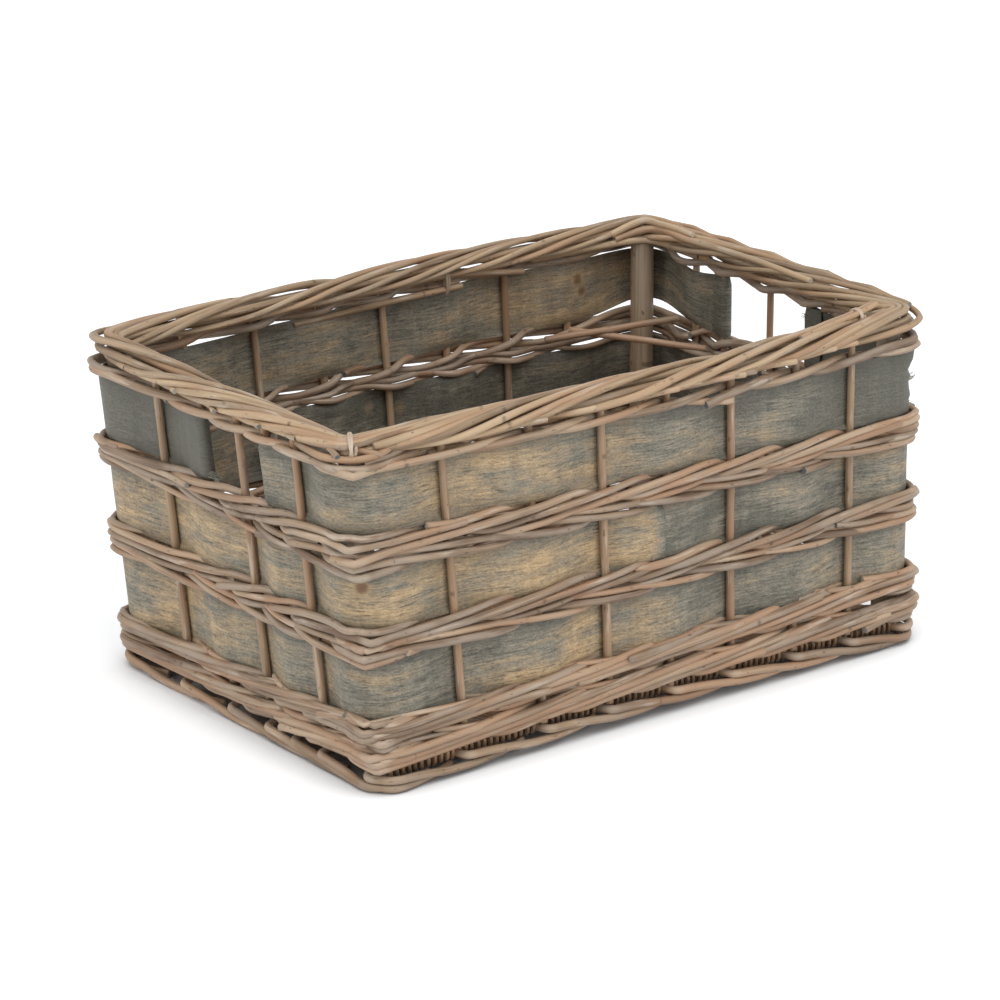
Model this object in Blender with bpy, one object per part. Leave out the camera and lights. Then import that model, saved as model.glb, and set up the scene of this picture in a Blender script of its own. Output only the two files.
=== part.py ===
# Rectangular willow storage basket with wide wood strips woven round its stakes.
# Metres, +Z up. The long sides run along X and the near long side faces -Y.
# The origin lies on the floor under the middle of the rim.
import math

import bmesh
import bpy
from mathutils import Vector

# Outer sizes
RIM_LENGTH = 0.4956
RIM_WIDTH = 0.3102
FOOT_LENGTH = 0.4686
FOOT_WIDTH = 0.3104
# The hand-woven walls lean: the foot sits a little to the right and to the front of the rim
FOOT_SHIFT_X = 0.0107
FOOT_SHIFT_Y = -0.0048
# At the rim, the middle of each long wall bulges outwards
WALL_BOW = 0.008
# Bend of the line that the stakes stand on, at each corner
CORNER_RADIUS = 0.018
# Gap kept between pieces that touch on the real basket
CLEARANCE = 0.0003

# Willow rods
STAKE_RADIUS = 0.0030
BAND_ROD_RADIUS = 0.0025
BASE_ROD_RADIUS = 0.0026
RIM_ROD_RADIUS = 0.0025
BORDER_ROD_RADIUS = 0.0031
FOOT_ROD_RADIUS = 0.00375
POST_RADIUS = 0.0085

# Rolled border: the rods wind round the rim's middle on an oval, in long turns. It is rolled
# towards the inside, so its middle lies inside the stakes.
BORDER_INSET = 0.005
BORDER_SPREAD = 0.0110
BORDER_RISE = 0.0048
BORDER_RODS = 4
BORDER_TURNS = 5

# Wood strips
STRIP_WIDTH = 0.0370
STRIP_THICKNESS = 0.0012
STRIP_LAP = 0.014
STRIP_TAIL = 0.012

# Woven base: bands of weavers pass over one stick and under the next, and the next band does
# the opposite. Every second ridge has a separate stick in it, which each band leaves bare on
# one side. Heights are measured from the mat's middle.
MAT_THICKNESS = 0.0075
MAT_VALLEY = 0.0034
MAT_BANDS = 14
BAND_TURN = 0.0040
BARE_HEIGHT = 0.0003
RIDGE_HALF_WIDTH = 0.0060
BASE_STICK_RADIUS = 0.0018
BASE_STICKS = 4
BASE_STICK_EDGE = 0.0050

# Where each wall's stakes stand, as shares of its straight run, in anticlockwise order.
# They are set by hand, so they are uneven. Each wall has an odd number of them.
WALLS = (
    ("near", (0.120, 0.272, 0.403, 0.527, 0.652, 0.784, 0.900)),
    ("right", (0.190, 0.355, 0.524, 0.716, 0.842)),
    ("far", (0.120, 0.244, 0.365, 0.487, 0.610, 0.735, 0.870)),
    ("left", (0.240, 0.445, 0.607, 0.728, 0.855)),
)
CORNER_NAMES = ("near_right", "far_right", "far_left", "near_left")
# The two stakes of a short wall that stand at the edges of its hand hole, counted from 0
HOLE_FIRST_STAKE = 1
HOLE_LAST_STAKE = 3
# The stake of the near wall at which the two ring strips start and overlap
LAP_STAKE = 3

# Facets
ROD_SIDES = 5
STAKE_SIDES = 6
POST_SIDES = 12
FOOT_SIDES = 6
STICK_SIDES = 8
ARC_STEPS = 3
STRIP_STEPS = 3
BORDER_STEP = 0.028
# Above this share of its direction a rod counts as upright, and its sections turn from X
NEARLY_UPRIGHT = 0.9

# Weaving patterns. A rod of three goes in front of two stakes and behind one, and a rod of a
# pair in front of one and behind one. Entries alternate between a stake and the gap after it:
# the side of the stake line (1 outside, -1 inside, 0 on it) and the share of the row's rise.
TRIPLE = ((-1, 0.5), (0, 0.0), (1, 0.25), (1, 0.5), (1, 0.75), (0, 1.0))
PAIR = ((-1, 0.5), (0, 0.0), (1, 0.5), (0, 1.0))


# Heights, stacked from the floor up
def triple_rise(radius):
    return 2 * (2 * radius + CLEARANCE)


def pair_rise(radius):
    return 2 * radius + CLEARANCE


FOOT_TOP = 2 * FOOT_ROD_RADIUS
MAT_BOTTOM = FOOT_TOP + CLEARANCE
MAT_TOP = MAT_BOTTOM + MAT_THICKNESS
BASE_ROW_HEIGHT = triple_rise(BASE_ROD_RADIUS) + 2 * BASE_ROD_RADIUS
BASE_LOW_BOTTOM = MAT_TOP + CLEARANCE
BASE_HIGH_BOTTOM = BASE_LOW_BOTTOM + BASE_ROW_HEIGHT + CLEARANCE
BAND_PAIR_HEIGHT = pair_rise(BAND_ROD_RADIUS) + 2 * BAND_ROD_RADIUS
BAND_TRIPLE_HEIGHT = triple_rise(BAND_ROD_RADIUS) + 2 * BAND_ROD_RADIUS
BAND_HEIGHT = BAND_PAIR_HEIGHT + CLEARANCE + BAND_TRIPLE_HEIGHT
STRIP_LOW_BOTTOM = BASE_HIGH_BOTTOM + BASE_ROW_HEIGHT + CLEARANCE
BAND_LOW_BOTTOM = STRIP_LOW_BOTTOM + STRIP_WIDTH + CLEARANCE
STRIP_MID_BOTTOM = BAND_LOW_BOTTOM + BAND_HEIGHT + CLEARANCE
BAND_HIGH_BOTTOM = STRIP_MID_BOTTOM + STRIP_WIDTH + CLEARANCE
STRIP_TOP_BOTTOM = BAND_HIGH_BOTTOM + BAND_HEIGHT + CLEARANCE
RIM_PAIR_BOTTOM = STRIP_TOP_BOTTOM + STRIP_WIDTH + CLEARANCE
BORDER_BOTTOM = RIM_PAIR_BOTTOM + pair_rise(RIM_ROD_RADIUS) + 2 * RIM_ROD_RADIUS + CLEARANCE
HEIGHT = BORDER_BOTTOM + 2 * (BORDER_RISE + BORDER_ROD_RADIUS)

# The line that the stakes stand on, at the floor and at the rim's top
RIM_HALF_THICKNESS = BORDER_SPREAD + BORDER_ROD_RADIUS
BASE_REACH = STAKE_RADIUS + BASE_ROD_RADIUS + CLEARANCE
WALL_HALF_THICKNESS = BASE_REACH + BASE_ROD_RADIUS
TOP_HALF_X = RIM_LENGTH / 2 - RIM_HALF_THICKNESS + BORDER_INSET
TOP_HALF_Y = RIM_WIDTH / 2 - RIM_HALF_THICKNESS + BORDER_INSET
LOW_HALF_X = FOOT_LENGTH / 2 - WALL_HALF_THICKNESS
LOW_HALF_Y = FOOT_WIDTH / 2 - WALL_HALF_THICKNESS
STRAIGHT_X = TOP_HALF_X + LOW_HALF_X - 2 * CORNER_RADIUS
STRAIGHT_Y = TOP_HALF_Y + LOW_HALF_Y - 2 * CORNER_RADIUS
ARC = CORNER_RADIUS * math.pi / 2
RUNS = (STRAIGHT_X, STRAIGHT_Y, STRAIGHT_X, STRAIGHT_Y)
LONG_WALLS = (0, 2)
RING_LENGTH = sum(RUNS) + 4 * ARC

# The corner posts stand inside the bend, clear of the thickest rod that goes round it
THICKEST_ROD = max(BAND_ROD_RADIUS, BASE_ROD_RADIUS, RIM_ROD_RADIUS)
HALF_ARC_STEP = math.pi / 4 / ARC_STEPS
POST_INSET = (POST_RADIUS + THICKEST_ROD + 2 * CLEARANCE) / math.cos(HALF_ARC_STEP)
STRIP_CORNER_OUT = STRIP_THICKNESS / 2 - THICKEST_ROD
STRIP_REACH = STAKE_RADIUS + STRIP_THICKNESS / 2 + CLEARANCE


def corner_start(corner):
    """Distance along the ring at which a corner's bend starts."""
    return sum(RUNS[: corner + 1]) + corner * ARC


def ring_point(s, z, out):
    """A point of the wall: s runs anticlockwise from the near left bend, out points outwards."""
    up = z / HEIGHT
    half_x = LOW_HALF_X + (TOP_HALF_X - LOW_HALF_X) * up
    half_y = LOW_HALF_Y + (TOP_HALF_Y - LOW_HALF_Y) * up
    centre = Vector((FOOT_SHIFT_X, FOOT_SHIFT_Y)) * (1 - up)
    inner = Vector((half_x - CORNER_RADIUS, half_y - CORNER_RADIUS))
    s = s % RING_LENGTH
    for wall, run in enumerate(RUNS):
        turn = wall * math.pi / 2
        forward = Vector((math.cos(turn), math.sin(turn)))
        outward = Vector((math.sin(turn), -math.cos(turn)))
        along, across = (inner.x, inner.y) if wall % 2 == 0 else (inner.y, inner.x)
        if s <= run:
            from_middle = (s - run / 2) / (run / 2)
            bow = WALL_BOW * up * (1 - from_middle**2) if wall in LONG_WALLS else 0.0
            place = forward * along * from_middle
            place += outward * (across + CORNER_RADIUS + out + bow)
            break
        s -= run
        if s <= ARC or wall == 3:
            angle = s / CORNER_RADIUS
            place = forward * (along + math.sin(angle) * (CORNER_RADIUS + out))
            place += outward * (across + math.cos(angle) * (CORNER_RADIUS + out))
            break
        s -= ARC
    place += centre
    return Vector((place.x, place.y, z))


def stake_stations():
    """Name, distance along the ring and number on its wall of every stake."""
    stations = []
    start = 0.0
    for (wall, shares), run in zip(WALLS, RUNS):
        for number, share in enumerate(shares):
            stations.append((f"stake_{wall}_{number + 1}", start + share * run, number))
        start += run + ARC
    return stations


STATIONS = stake_stations()
STAKE_S = [s for _, s, _ in STATIONS]
LAST_ON_WALL = []
for _, shares in WALLS:
    LAST_ON_WALL.append(len(shares) + (LAST_ON_WALL[-1] if LAST_ON_WALL else 0))


def gap_after(index):
    """Start and end of the gap after a stake, and the corner that it goes round, if any."""
    start = STAKE_S[index]
    end = STAKE_S[(index + 1) % len(STAKE_S)]
    if end <= start:
        end += RING_LENGTH
    corner = LAST_ON_WALL.index(index + 1) if index + 1 in LAST_ON_WALL else None
    return start, end, corner


def corner_stops(corner):
    """Distances along the ring at which a bend is followed."""
    return [corner_start(corner) + ARC * step / ARC_STEPS for step in range(ARC_STEPS + 1)]


def run_to_next(index):
    """Straight run from a stake to the middle of its gap, or to the bend that ends its wall."""
    start, end, corner = gap_after(index)
    return (corner_start(corner) - start) if corner is not None else (end - start) / 2


def run_to_last(index):
    """The same run, to the side that the stake's wall starts from."""
    start, end, corner = gap_after(index - 1)
    return (end - corner_start(corner) - ARC) if corner is not None else (end - start) / 2


def woven_rod(pattern, shift, radius, bottom, rise, falling):
    """Centre line of one rod of a row, as a closed list of points."""
    points = []
    reach = STAKE_RADIUS + radius + CLEARANCE
    count = len(pattern)

    def height(share):
        return bottom + radius + rise * ((1 - share) if falling else share)

    for index, station in enumerate(STAKE_S):
        step = 2 * (index - shift) % count
        side, share = pattern[step]
        # A rod that slants past a stake stands off it a little more
        slant = reach / min(run_to_last(index), run_to_next(index))
        points.append(ring_point(station, height(share), side * reach * math.hypot(1, slant)))
        start, end, corner = gap_after(index)
        side_next, share_next = pattern[(step + 1) % count]
        if corner is not None:
            for stop in corner_stops(corner):
                points.append(ring_point(stop, height(share_next), side_next * reach))
        elif side_next == 0:
            points.append(ring_point((start + end) / 2, height(share_next), 0.0))
    return points


def border_rod(number):
    """Centre line of one rod of the rolled border: over the top from outside to inside."""
    middle = BORDER_BOTTOM + BORDER_RISE + BORDER_ROD_RADIUS
    stops = []
    start = 0.0
    for wall, run in enumerate(RUNS):
        pieces = max(2, round(run / BORDER_STEP))
        stops += [start + run * piece / pieces for piece in range(pieces)]
        stops += corner_stops(wall)[:-1]
        start += run + ARC
    points = []
    for s in stops:
        turn = 2 * math.pi * (BORDER_TURNS * s / RING_LENGTH + number / BORDER_RODS)
        z = middle + BORDER_RISE * math.sin(turn)
        points.append(ring_point(s, z, BORDER_SPREAD * math.cos(turn) - BORDER_INSET))
    return points


def strip_marks(first, last):
    """Distance along the ring and side of a strip, from one stake to another, anticlockwise."""
    marks = []
    lap = 0.0
    index = first
    while True:
        side = STRIP_REACH if STATIONS[index][2] % 2 else -STRIP_REACH
        marks.append((STAKE_S[index] + lap, side))
        if index == last and len(marks) > 1:
            return marks
        corner = gap_after(index)[2]
        if corner is not None:
            marks += [(stop + lap, STRIP_CORNER_OUT) for stop in corner_stops(corner)]
        index += 1
        if index == len(STAKE_S):
            index = 0
            lap = RING_LENGTH


def eased(marks):
    """Marks with rounded steps between them, except round a bend."""
    line = [marks[0]]
    for (s0, out0), (s1, out1) in zip(marks, marks[1:]):
        steps = STRIP_STEPS if out0 != out1 else 1
        for step in range(1, steps + 1):
            share = step / steps
            ease = (1 - math.cos(math.pi * share)) / 2
            line.append((s0 + (s1 - s0) * share, out0 + (out1 - out0) * ease))
    return line


def hook(s, forward):
    """The end of a strip folded round a stake and back along the wall's inside."""
    bent = []
    for angle in (45, 90, 135, 180):
        a = math.radians(angle)
        bent.append((s + forward * STRIP_REACH * math.sin(a), STRIP_REACH * math.cos(a)))
    bent.append((s - forward * STRIP_TAIL, -STRIP_REACH))
    return bent


def strip_between_holes(first, last):
    """Line of a top strip, hooked round the stakes at the edges of the two hand holes."""
    line = eased(strip_marks(first, last))
    ahead = hook(line[-1][0], 1)
    behind = hook(line[0][0], -1)
    return behind[::-1] + line + ahead


def strip_ring():
    """Line of a strip that goes all round, its last end lapped over its first."""
    marks = strip_marks(LAP_STAKE, LAP_STAKE)
    start = marks[0][0]
    layer = STRIP_REACH + STRIP_THICKNESS + CLEARANCE
    marks[-1] = (start + RING_LENGTH, layer)
    inner_end = (start - STRIP_LAP, STRIP_REACH / 2)
    return [inner_end] + eased(marks) + [(start + RING_LENGTH + STRIP_LAP, layer)]


def material(name, colour, roughness):
    """One plain finish."""
    made = bpy.data.materials.new(name)
    made.use_nodes = True
    shader = made.node_tree.nodes["Principled BSDF"]
    shader.inputs["Base Color"].default_value = (*colour, 1.0)
    shader.inputs["Roughness"].default_value = roughness
    shader.inputs["Metallic"].default_value = 0.0
    return made


def add_object(name, mesh, finish):
    """Put a mesh in the scene as one named piece."""
    mesh.materials.append(finish)
    piece = bpy.data.objects.new(name, mesh)
    bpy.context.scene.collection.objects.link(piece)
    return piece


def sweep(name, rings, closed, finish):
    """Skin a row of rings of corners, and cap the ends of one that isn't closed."""
    mesh = bpy.data.meshes.new(name)
    bm = bmesh.new()
    rows = [[bm.verts.new(corner) for corner in ring] for ring in rings]
    pairs = list(zip(rows, rows[1:]))
    if closed:
        pairs.append((rows[-1], rows[0]))
    for row, after in pairs:
        for k in range(len(row)):
            m = (k + 1) % len(row)
            bm.faces.new((row[k], row[m], after[m], after[k]))
    if not closed:
        bm.faces.new(rows[0])
        bm.faces.new(rows[-1][::-1])
    bmesh.ops.recalc_face_normals(bm, faces=bm.faces)
    bm.to_mesh(mesh)
    bm.free()
    mesh.shade_smooth()
    mesh.set_sharp_from_angle(angle=math.radians(50))
    return add_object(name, mesh, finish)


def rod(name, points, radius, sides, closed, finish, turn=0.0):
    """A round rod along a line of points, its sections square to the line."""
    rings = []
    last = len(points) - 1
    for index, point in enumerate(points):
        before = points[index - 1] if index or closed else point
        after = points[(index + 1) % len(points)] if index < last or closed else point
        tangent = (after - before).normalized()
        reference = Vector((0, 0, 1)) if abs(tangent.z) < NEARLY_UPRIGHT else Vector((1, 0, 0))
        side = tangent.cross(reference).normalized()
        top = side.cross(tangent).normalized()
        ring = []
        for k in range(sides):
            angle = turn + 2 * math.pi * k / sides
            ring.append(point + (side * math.cos(angle) + top * math.sin(angle)) * radius)
        rings.append(ring)
    return sweep(name, rings, closed, finish)


def upright(name, low, high, radius, sides, finish):
    """A round post between two points, cut level at both ends."""
    rings = []
    for end in (low, high):
        angles = [2 * math.pi * k / sides for k in range(sides)]
        rings.append([end + Vector((math.cos(a), math.sin(a), 0)) * radius for a in angles])
    return sweep(name, rings, False, finish)


def strip(name, line, bottom, finish):
    """A thin upright strip whose thickness lies across its line."""
    rings = []
    last = len(line) - 1
    for index, (s, out) in enumerate(line):
        s0, out0 = line[max(index - 1, 0)]
        s1, out1 = line[min(index + 1, last)]
        length = math.hypot(s1 - s0, out1 - out0)
        across_s = -(out1 - out0) / length * STRIP_THICKNESS / 2
        across_out = (s1 - s0) / length * STRIP_THICKNESS / 2
        ring = []
        for side, z in ((1, bottom), (1, bottom + STRIP_WIDTH), (-1, bottom + STRIP_WIDTH), (-1, bottom)):
            ring.append(ring_point(s + side * across_s, z, out + side * across_out))
        rings.append(ring)
    return sweep(name, rings, False, finish)


def clear_scene():
    for old in list(bpy.data.objects):
        bpy.data.objects.remove(old, do_unlink=True)


def add_stakes(finish):
    """Upright stakes, from the foot border up to the underside of the rolled border."""
    low = MAT_BOTTOM
    high = BORDER_BOTTOM - CLEARANCE
    for name, s, _ in STATIONS:
        foot, head = (ring_point(s, z, 0.0) for z in (low, high))
        upright(name, foot, head, STAKE_RADIUS, STAKE_SIDES, finish)


def add_posts(finish):
    """Thick corner posts inside the bends, standing on the base mat."""
    for corner, name in enumerate(CORNER_NAMES):
        middle = corner_start(corner) + ARC / 2
        low = ring_point(middle, MAT_TOP + CLEARANCE, -POST_INSET)
        high = ring_point(middle, BORDER_BOTTOM - CLEARANCE, -POST_INSET)
        upright(f"corner_post_{name}", low, high, POST_RADIUS, POST_SIDES, finish)


def add_strips(finish):
    """Two top strips that stop at the hand holes, and two strips that go all round."""
    right_first = LAST_ON_WALL[0]
    left_first = LAST_ON_WALL[2]
    front = strip_between_holes(left_first + HOLE_LAST_STAKE, right_first + HOLE_FIRST_STAKE)
    back = strip_between_holes(right_first + HOLE_LAST_STAKE, left_first + HOLE_FIRST_STAKE)
    strip("strip_top_front", front, STRIP_TOP_BOTTOM, finish)
    strip("strip_top_back", back, STRIP_TOP_BOTTOM, finish)
    strip("strip_middle", strip_ring(), STRIP_MID_BOTTOM, finish)
    strip("strip_bottom", strip_ring(), STRIP_LOW_BOTTOM, finish)


def add_row(name, pattern, radius, bottom, rise, falling, finish):
    """One row of waling: as many rods as the pattern needs, each a stake behind the last."""
    for number in range(len(pattern) // 2):
        line = woven_rod(pattern, number, radius, bottom, rise, falling)
        rod(f"{name}_{number + 1}", line, radius, ROD_SIDES, True, finish)


def add_weaving(finish):
    """Base waling, the two bands between the strips, and the pair under the border."""
    base_rise = triple_rise(BASE_ROD_RADIUS)
    add_row("base_wale_low", TRIPLE, BASE_ROD_RADIUS, BASE_LOW_BOTTOM, base_rise, False, finish)
    add_row("base_wale_high", TRIPLE, BASE_ROD_RADIUS, BASE_HIGH_BOTTOM, base_rise, False, finish)
    for name, bottom in (("band_low", BAND_LOW_BOTTOM), ("band_high", BAND_HIGH_BOTTOM)):
        rise = pair_rise(BAND_ROD_RADIUS)
        add_row(f"{name}_pair", PAIR, BAND_ROD_RADIUS, bottom, rise, True, finish)
        bottom += BAND_PAIR_HEIGHT + CLEARANCE
        rise = triple_rise(BAND_ROD_RADIUS)
        add_row(f"{name}_wale", TRIPLE, BAND_ROD_RADIUS, bottom, rise, False, finish)
    rim_rise = pair_rise(RIM_ROD_RADIUS)
    add_row("rim_pair", PAIR, RIM_ROD_RADIUS, RIM_PAIR_BOTTOM, rim_rise, False, finish)


def add_border(finish):
    for number in range(BORDER_RODS):
        line = border_rod(number)
        rod(f"rim_border_{number + 1}", line, BORDER_ROD_RADIUS, ROD_SIDES, True, finish)


def add_foot(finish):
    """Foot border under the stakes: its flat underside is what the basket stands on."""
    across_corners = FOOT_ROD_RADIUS / math.cos(math.pi / FOOT_SIDES)
    line = []
    for corner in range(4):
        line += [ring_point(stop, FOOT_ROD_RADIUS, 0.0) for stop in corner_stops(corner)]
    rod("foot_border", line, across_corners, FOOT_SIDES, True, finish)


def ridge_places():
    """Distances across the basket of the base's ridges."""
    middle = (MAT_BOTTOM + MAT_TOP) / 2
    edge = STAKE_RADIUS + CLEARANCE + BASE_STICK_EDGE
    near = ring_point(0.0, middle, -edge).y
    far = ring_point(corner_start(2), middle, -edge).y
    last = 2 * (BASE_STICKS - 1)
    return [near + (far - near) * number / last for number in range(last + 1)]


def stick_lines():
    """Ends of the base sticks, which lie along the base inside the mat."""
    middle = (MAT_BOTTOM + MAT_TOP) / 2
    edge = STAKE_RADIUS + CLEARANCE
    left = ring_point(corner_start(3), middle, -edge).x
    right = ring_point(corner_start(1), middle, -edge).x
    return [(Vector((left, y, middle)), Vector((right, y, middle))) for y in ridge_places()[::2]]


def mat_face(places, beyond, first_passes):
    """One face of the mat's section, as distances across the basket and away from its middle.

    Where first_passes is true, the weavers pass the first ridge's stick on this face's side,
    and every second one after it. The odd ridges between the separate sticks are solid.
    """
    heights = []
    for number in range(len(places)):
        passes = (number % 2 == 0) == first_passes
        bare = BARE_HEIGHT if number % 2 == 0 else BASE_STICK_RADIUS
        heights.append(MAT_THICKNESS / 2 if passes else bare)
    line = [(places[0] - beyond, heights[0])]
    for number in range(len(places) - 1):
        place, after = places[number], places[number + 1]
        line.append((place + RIDGE_HALF_WIDTH, heights[number]))
        line.append(((place + after) / 2, MAT_VALLEY / 2))
        line.append((after - RIDGE_HALF_WIDTH, heights[number + 1]))
    line.append((places[-1] + beyond, heights[-1]))
    return line


def mat_section(x, beyond, first_over):
    """The mat's section across the basket at x, before its outline is cut."""
    places = ridge_places()
    middle = (MAT_BOTTOM + MAT_TOP) / 2
    upper = mat_face(places, beyond, first_over)
    lower = [(y, -z) for y, z in mat_face(places, beyond, not first_over)[::-1]]
    return [Vector((x, y, middle + z)) for y, z in upper + lower]


def mat_sections(start, end, beyond):
    """The mat's sections from one end to the other, over and under the sticks by turns."""
    width = (end - start) / MAT_BANDS
    sections = []
    for band in range(MAT_BANDS):
        left = start + width * band
        for x in (left + BAND_TURN / 2, left + width - BAND_TURN / 2):
            sections.append(mat_section(x, beyond, band % 2 == 0))
    return sections


def cut_with(piece, cutter, operation):
    """Keep or remove what lies inside a cutter, which itself isn't part of the basket."""
    cutter.hide_render = True
    cutter.display_type = "WIRE"
    cut = piece.modifiers.new(cutter.name, "BOOLEAN")
    cut.operation = operation
    cut.solver = "EXACT"
    cut.object = cutter


def add_base(mat_finish, stick_finish):
    """Woven base mat, with a channel for each of its separate sticks."""
    edge = -STAKE_RADIUS - CLEARANCE
    beyond = CORNER_RADIUS
    sticks = stick_lines()
    ends = (sticks[0][0].x - beyond, sticks[0][1].x + beyond)
    mat = sweep("base_mat", mat_sections(*ends, beyond), False, mat_finish)
    stops = [stop for corner in range(4) for stop in corner_stops(corner)]
    levels = (MAT_BOTTOM - FOOT_ROD_RADIUS, MAT_TOP + FOOT_ROD_RADIUS)
    rings = [[ring_point(stop, z, edge) for stop in stops] for z in levels]
    cut_with(mat, sweep("mat_outline", rings, False, mat_finish), "INTERSECT")
    channel = BASE_STICK_RADIUS / math.cos(math.pi / STICK_SIDES) + CLEARANCE
    past_the_edge = Vector((beyond, 0, 0))
    for number, (left, right) in enumerate(sticks, start=1):
        line = (left - past_the_edge, right + past_the_edge)
        cutter = rod(f"channel_{number}", line, channel, STICK_SIDES, False, stick_finish)
        cut_with(mat, cutter, "DIFFERENCE")
        rod(f"base_stick_{number}", (left, right), BASE_STICK_RADIUS, STICK_SIDES, False, stick_finish)


def main():
    clear_scene()
    rods = material("brown_willow", (0.30, 0.20, 0.13), 0.60)
    border = material("honey_willow", (0.40, 0.27, 0.16), 0.55)
    uprights = material("stake_willow", (0.36, 0.25, 0.17), 0.60)
    post_wood = material("post_wood", (0.33, 0.23, 0.15), 0.60)
    strip_wood = material("grey_strip_wood", (0.24, 0.24, 0.20), 0.70)
    base_willow = material("base_willow", (0.27, 0.19, 0.13), 0.65)
    add_posts(post_wood)
    add_stakes(uprights)
    add_strips(strip_wood)
    add_weaving(rods)
    add_border(border)
    add_foot(border)
    add_base(base_willow, post_wood)
    print(f"height {HEIGHT:.4f} m, {len(STATIONS)} stakes, ring {RING_LENGTH:.4f} m")


main()
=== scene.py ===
# %% [markdown]
# A willow storage basket, dressed over its construction model
#
# The basket is hand work: 24 upright stakes, four corner posts, three rows of wide wood strip,
# rows of woven willow rods between them, and a border rolled over the top. The construction
# model gives each of those pieces its place and size. This script keeps those places and gives
# every piece the shape and finish of the real thing: single rods with ends, bends and knots,
# and strips with wavy edges and a grain.

# %% Load the fixed frame
import math
import random

import bmesh
import bpy
import numpy as np
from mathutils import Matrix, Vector, noise


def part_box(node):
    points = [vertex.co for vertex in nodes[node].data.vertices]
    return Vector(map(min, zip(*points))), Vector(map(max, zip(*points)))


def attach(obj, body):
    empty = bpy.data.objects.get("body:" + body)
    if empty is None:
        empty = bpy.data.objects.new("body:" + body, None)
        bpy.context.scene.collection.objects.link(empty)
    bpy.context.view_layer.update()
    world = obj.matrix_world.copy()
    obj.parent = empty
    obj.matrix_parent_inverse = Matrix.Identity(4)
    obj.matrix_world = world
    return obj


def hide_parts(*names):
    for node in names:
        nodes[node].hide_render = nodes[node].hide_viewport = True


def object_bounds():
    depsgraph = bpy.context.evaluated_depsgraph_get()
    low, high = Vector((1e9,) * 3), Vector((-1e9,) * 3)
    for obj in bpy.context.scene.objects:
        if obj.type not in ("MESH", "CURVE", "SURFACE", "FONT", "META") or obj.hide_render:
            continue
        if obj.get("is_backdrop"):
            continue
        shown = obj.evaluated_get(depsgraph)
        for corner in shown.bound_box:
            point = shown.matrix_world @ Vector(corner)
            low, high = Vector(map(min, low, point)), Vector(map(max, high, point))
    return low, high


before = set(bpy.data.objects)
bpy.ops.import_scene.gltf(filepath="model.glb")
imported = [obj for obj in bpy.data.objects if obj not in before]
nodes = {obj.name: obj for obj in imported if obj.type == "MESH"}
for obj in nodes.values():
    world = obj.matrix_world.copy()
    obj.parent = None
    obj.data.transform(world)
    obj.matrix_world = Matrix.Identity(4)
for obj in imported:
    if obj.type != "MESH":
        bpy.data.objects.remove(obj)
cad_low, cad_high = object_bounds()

# Blender seeds its vector noise, which the sway of the stakes uses, from the clock
NOISE_SEED = 5
noise.seed_set(NOISE_SEED)

print(f"frame: {len(nodes)} nodes, {(cad_high - cad_low).x:.3f} m long")

# %% [markdown]
# The camera first
#
# It stands where the photographer stood: to the left of the near long side, a little above the
# rim and far enough back that the basket's lines hardly converge. A long lens does that.

# %% Camera
def in_scene(name, data):
    """A new object for a mesh, a lamp or a camera, placed in the scene."""
    thing = bpy.data.objects.new(name, data)
    bpy.context.scene.collection.objects.link(thing)
    return thing


LENS = 160.0
CAMERA_PLACE = Vector((-1.7302, -2.2608, 1.1063))
CAMERA_AIM = Vector((-0.0051, -0.0001, 0.1108))

camera_data = bpy.data.cameras.new("camera")
camera_data.lens = LENS
camera_data.sensor_width = 36.0
camera_data.clip_start = 0.1
camera = in_scene("camera", camera_data)
camera.location = CAMERA_PLACE
camera.rotation_euler = (CAMERA_AIM - CAMERA_PLACE).to_track_quat("-Z", "Y").to_euler()
bpy.context.scene.camera = camera
print(f"camera: {(CAMERA_AIM - CAMERA_PLACE).length:.2f} m from the basket")

# %% [markdown]
# The line that the weaver follows
#
# All the weaving runs round one closed line, the line of the stakes: four straight walls joined
# by round corners, leaning a little from foot to rim. A point of the basket is easiest to name
# as a distance along that line, a height, and a distance out of it. The stakes of the frame
# say where the walls stand at the foot and at the rim, so the line is measured from them.

# %% Wall line from the stakes
CORNER_RADIUS = 0.018
WALL_NAMES = ("near", "right", "far", "left")


def stake_names(wall):
    """The frame's stakes on one wall, in anticlockwise order."""
    found = [name for name in nodes if name.startswith(f"stake_{wall}_")]
    return sorted(found, key=lambda name: int(name.split("_")[-1]))


def ends_of(node):
    """Middle of the foot and of the head of an upright piece."""
    ends = []
    for level in (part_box(node)[0].z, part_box(node)[1].z):
        ring = np.array([v.co for v in nodes[node].data.vertices if abs(v.co.z - level) < 0.0005])
        ends.append(Vector((ring.min(axis=0) + ring.max(axis=0)) / 2))
    return ends


def stake_ends(wall):
    """Both ends of all the stakes of a wall, as rows of x, y and z."""
    return np.array([tuple(end) for name in stake_names(wall) for end in ends_of(name)])


def short_wall(wall):
    """A short wall's x at the floor, and its lean per metre of height."""
    ends = stake_ends(wall)
    lean, at_floor = np.polyfit(ends[:, 2], ends[:, 0], 1)
    return at_floor, lean


def middle_and_half(low, high, z):
    """Middle and half width between two leaning walls at a height."""
    first = low[0] + low[1] * z
    second = high[0] + high[1] * z
    return (first + second) / 2, (second - first) / 2


def long_wall(wall):
    """A long wall's y at the floor, its lean, and its bulge per metre of height."""
    ends = stake_ends(wall)
    height = ends[:, 2]
    middle, half = middle_and_half(LEFT, RIGHT, height)
    share = (ends[:, 0] - middle) / (half - CORNER_RADIUS)
    table = np.stack([np.ones(len(ends)), height, height * (1 - share ** 2)], axis=1)
    return np.linalg.lstsq(table, ends[:, 1], rcond=None)[0]


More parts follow.
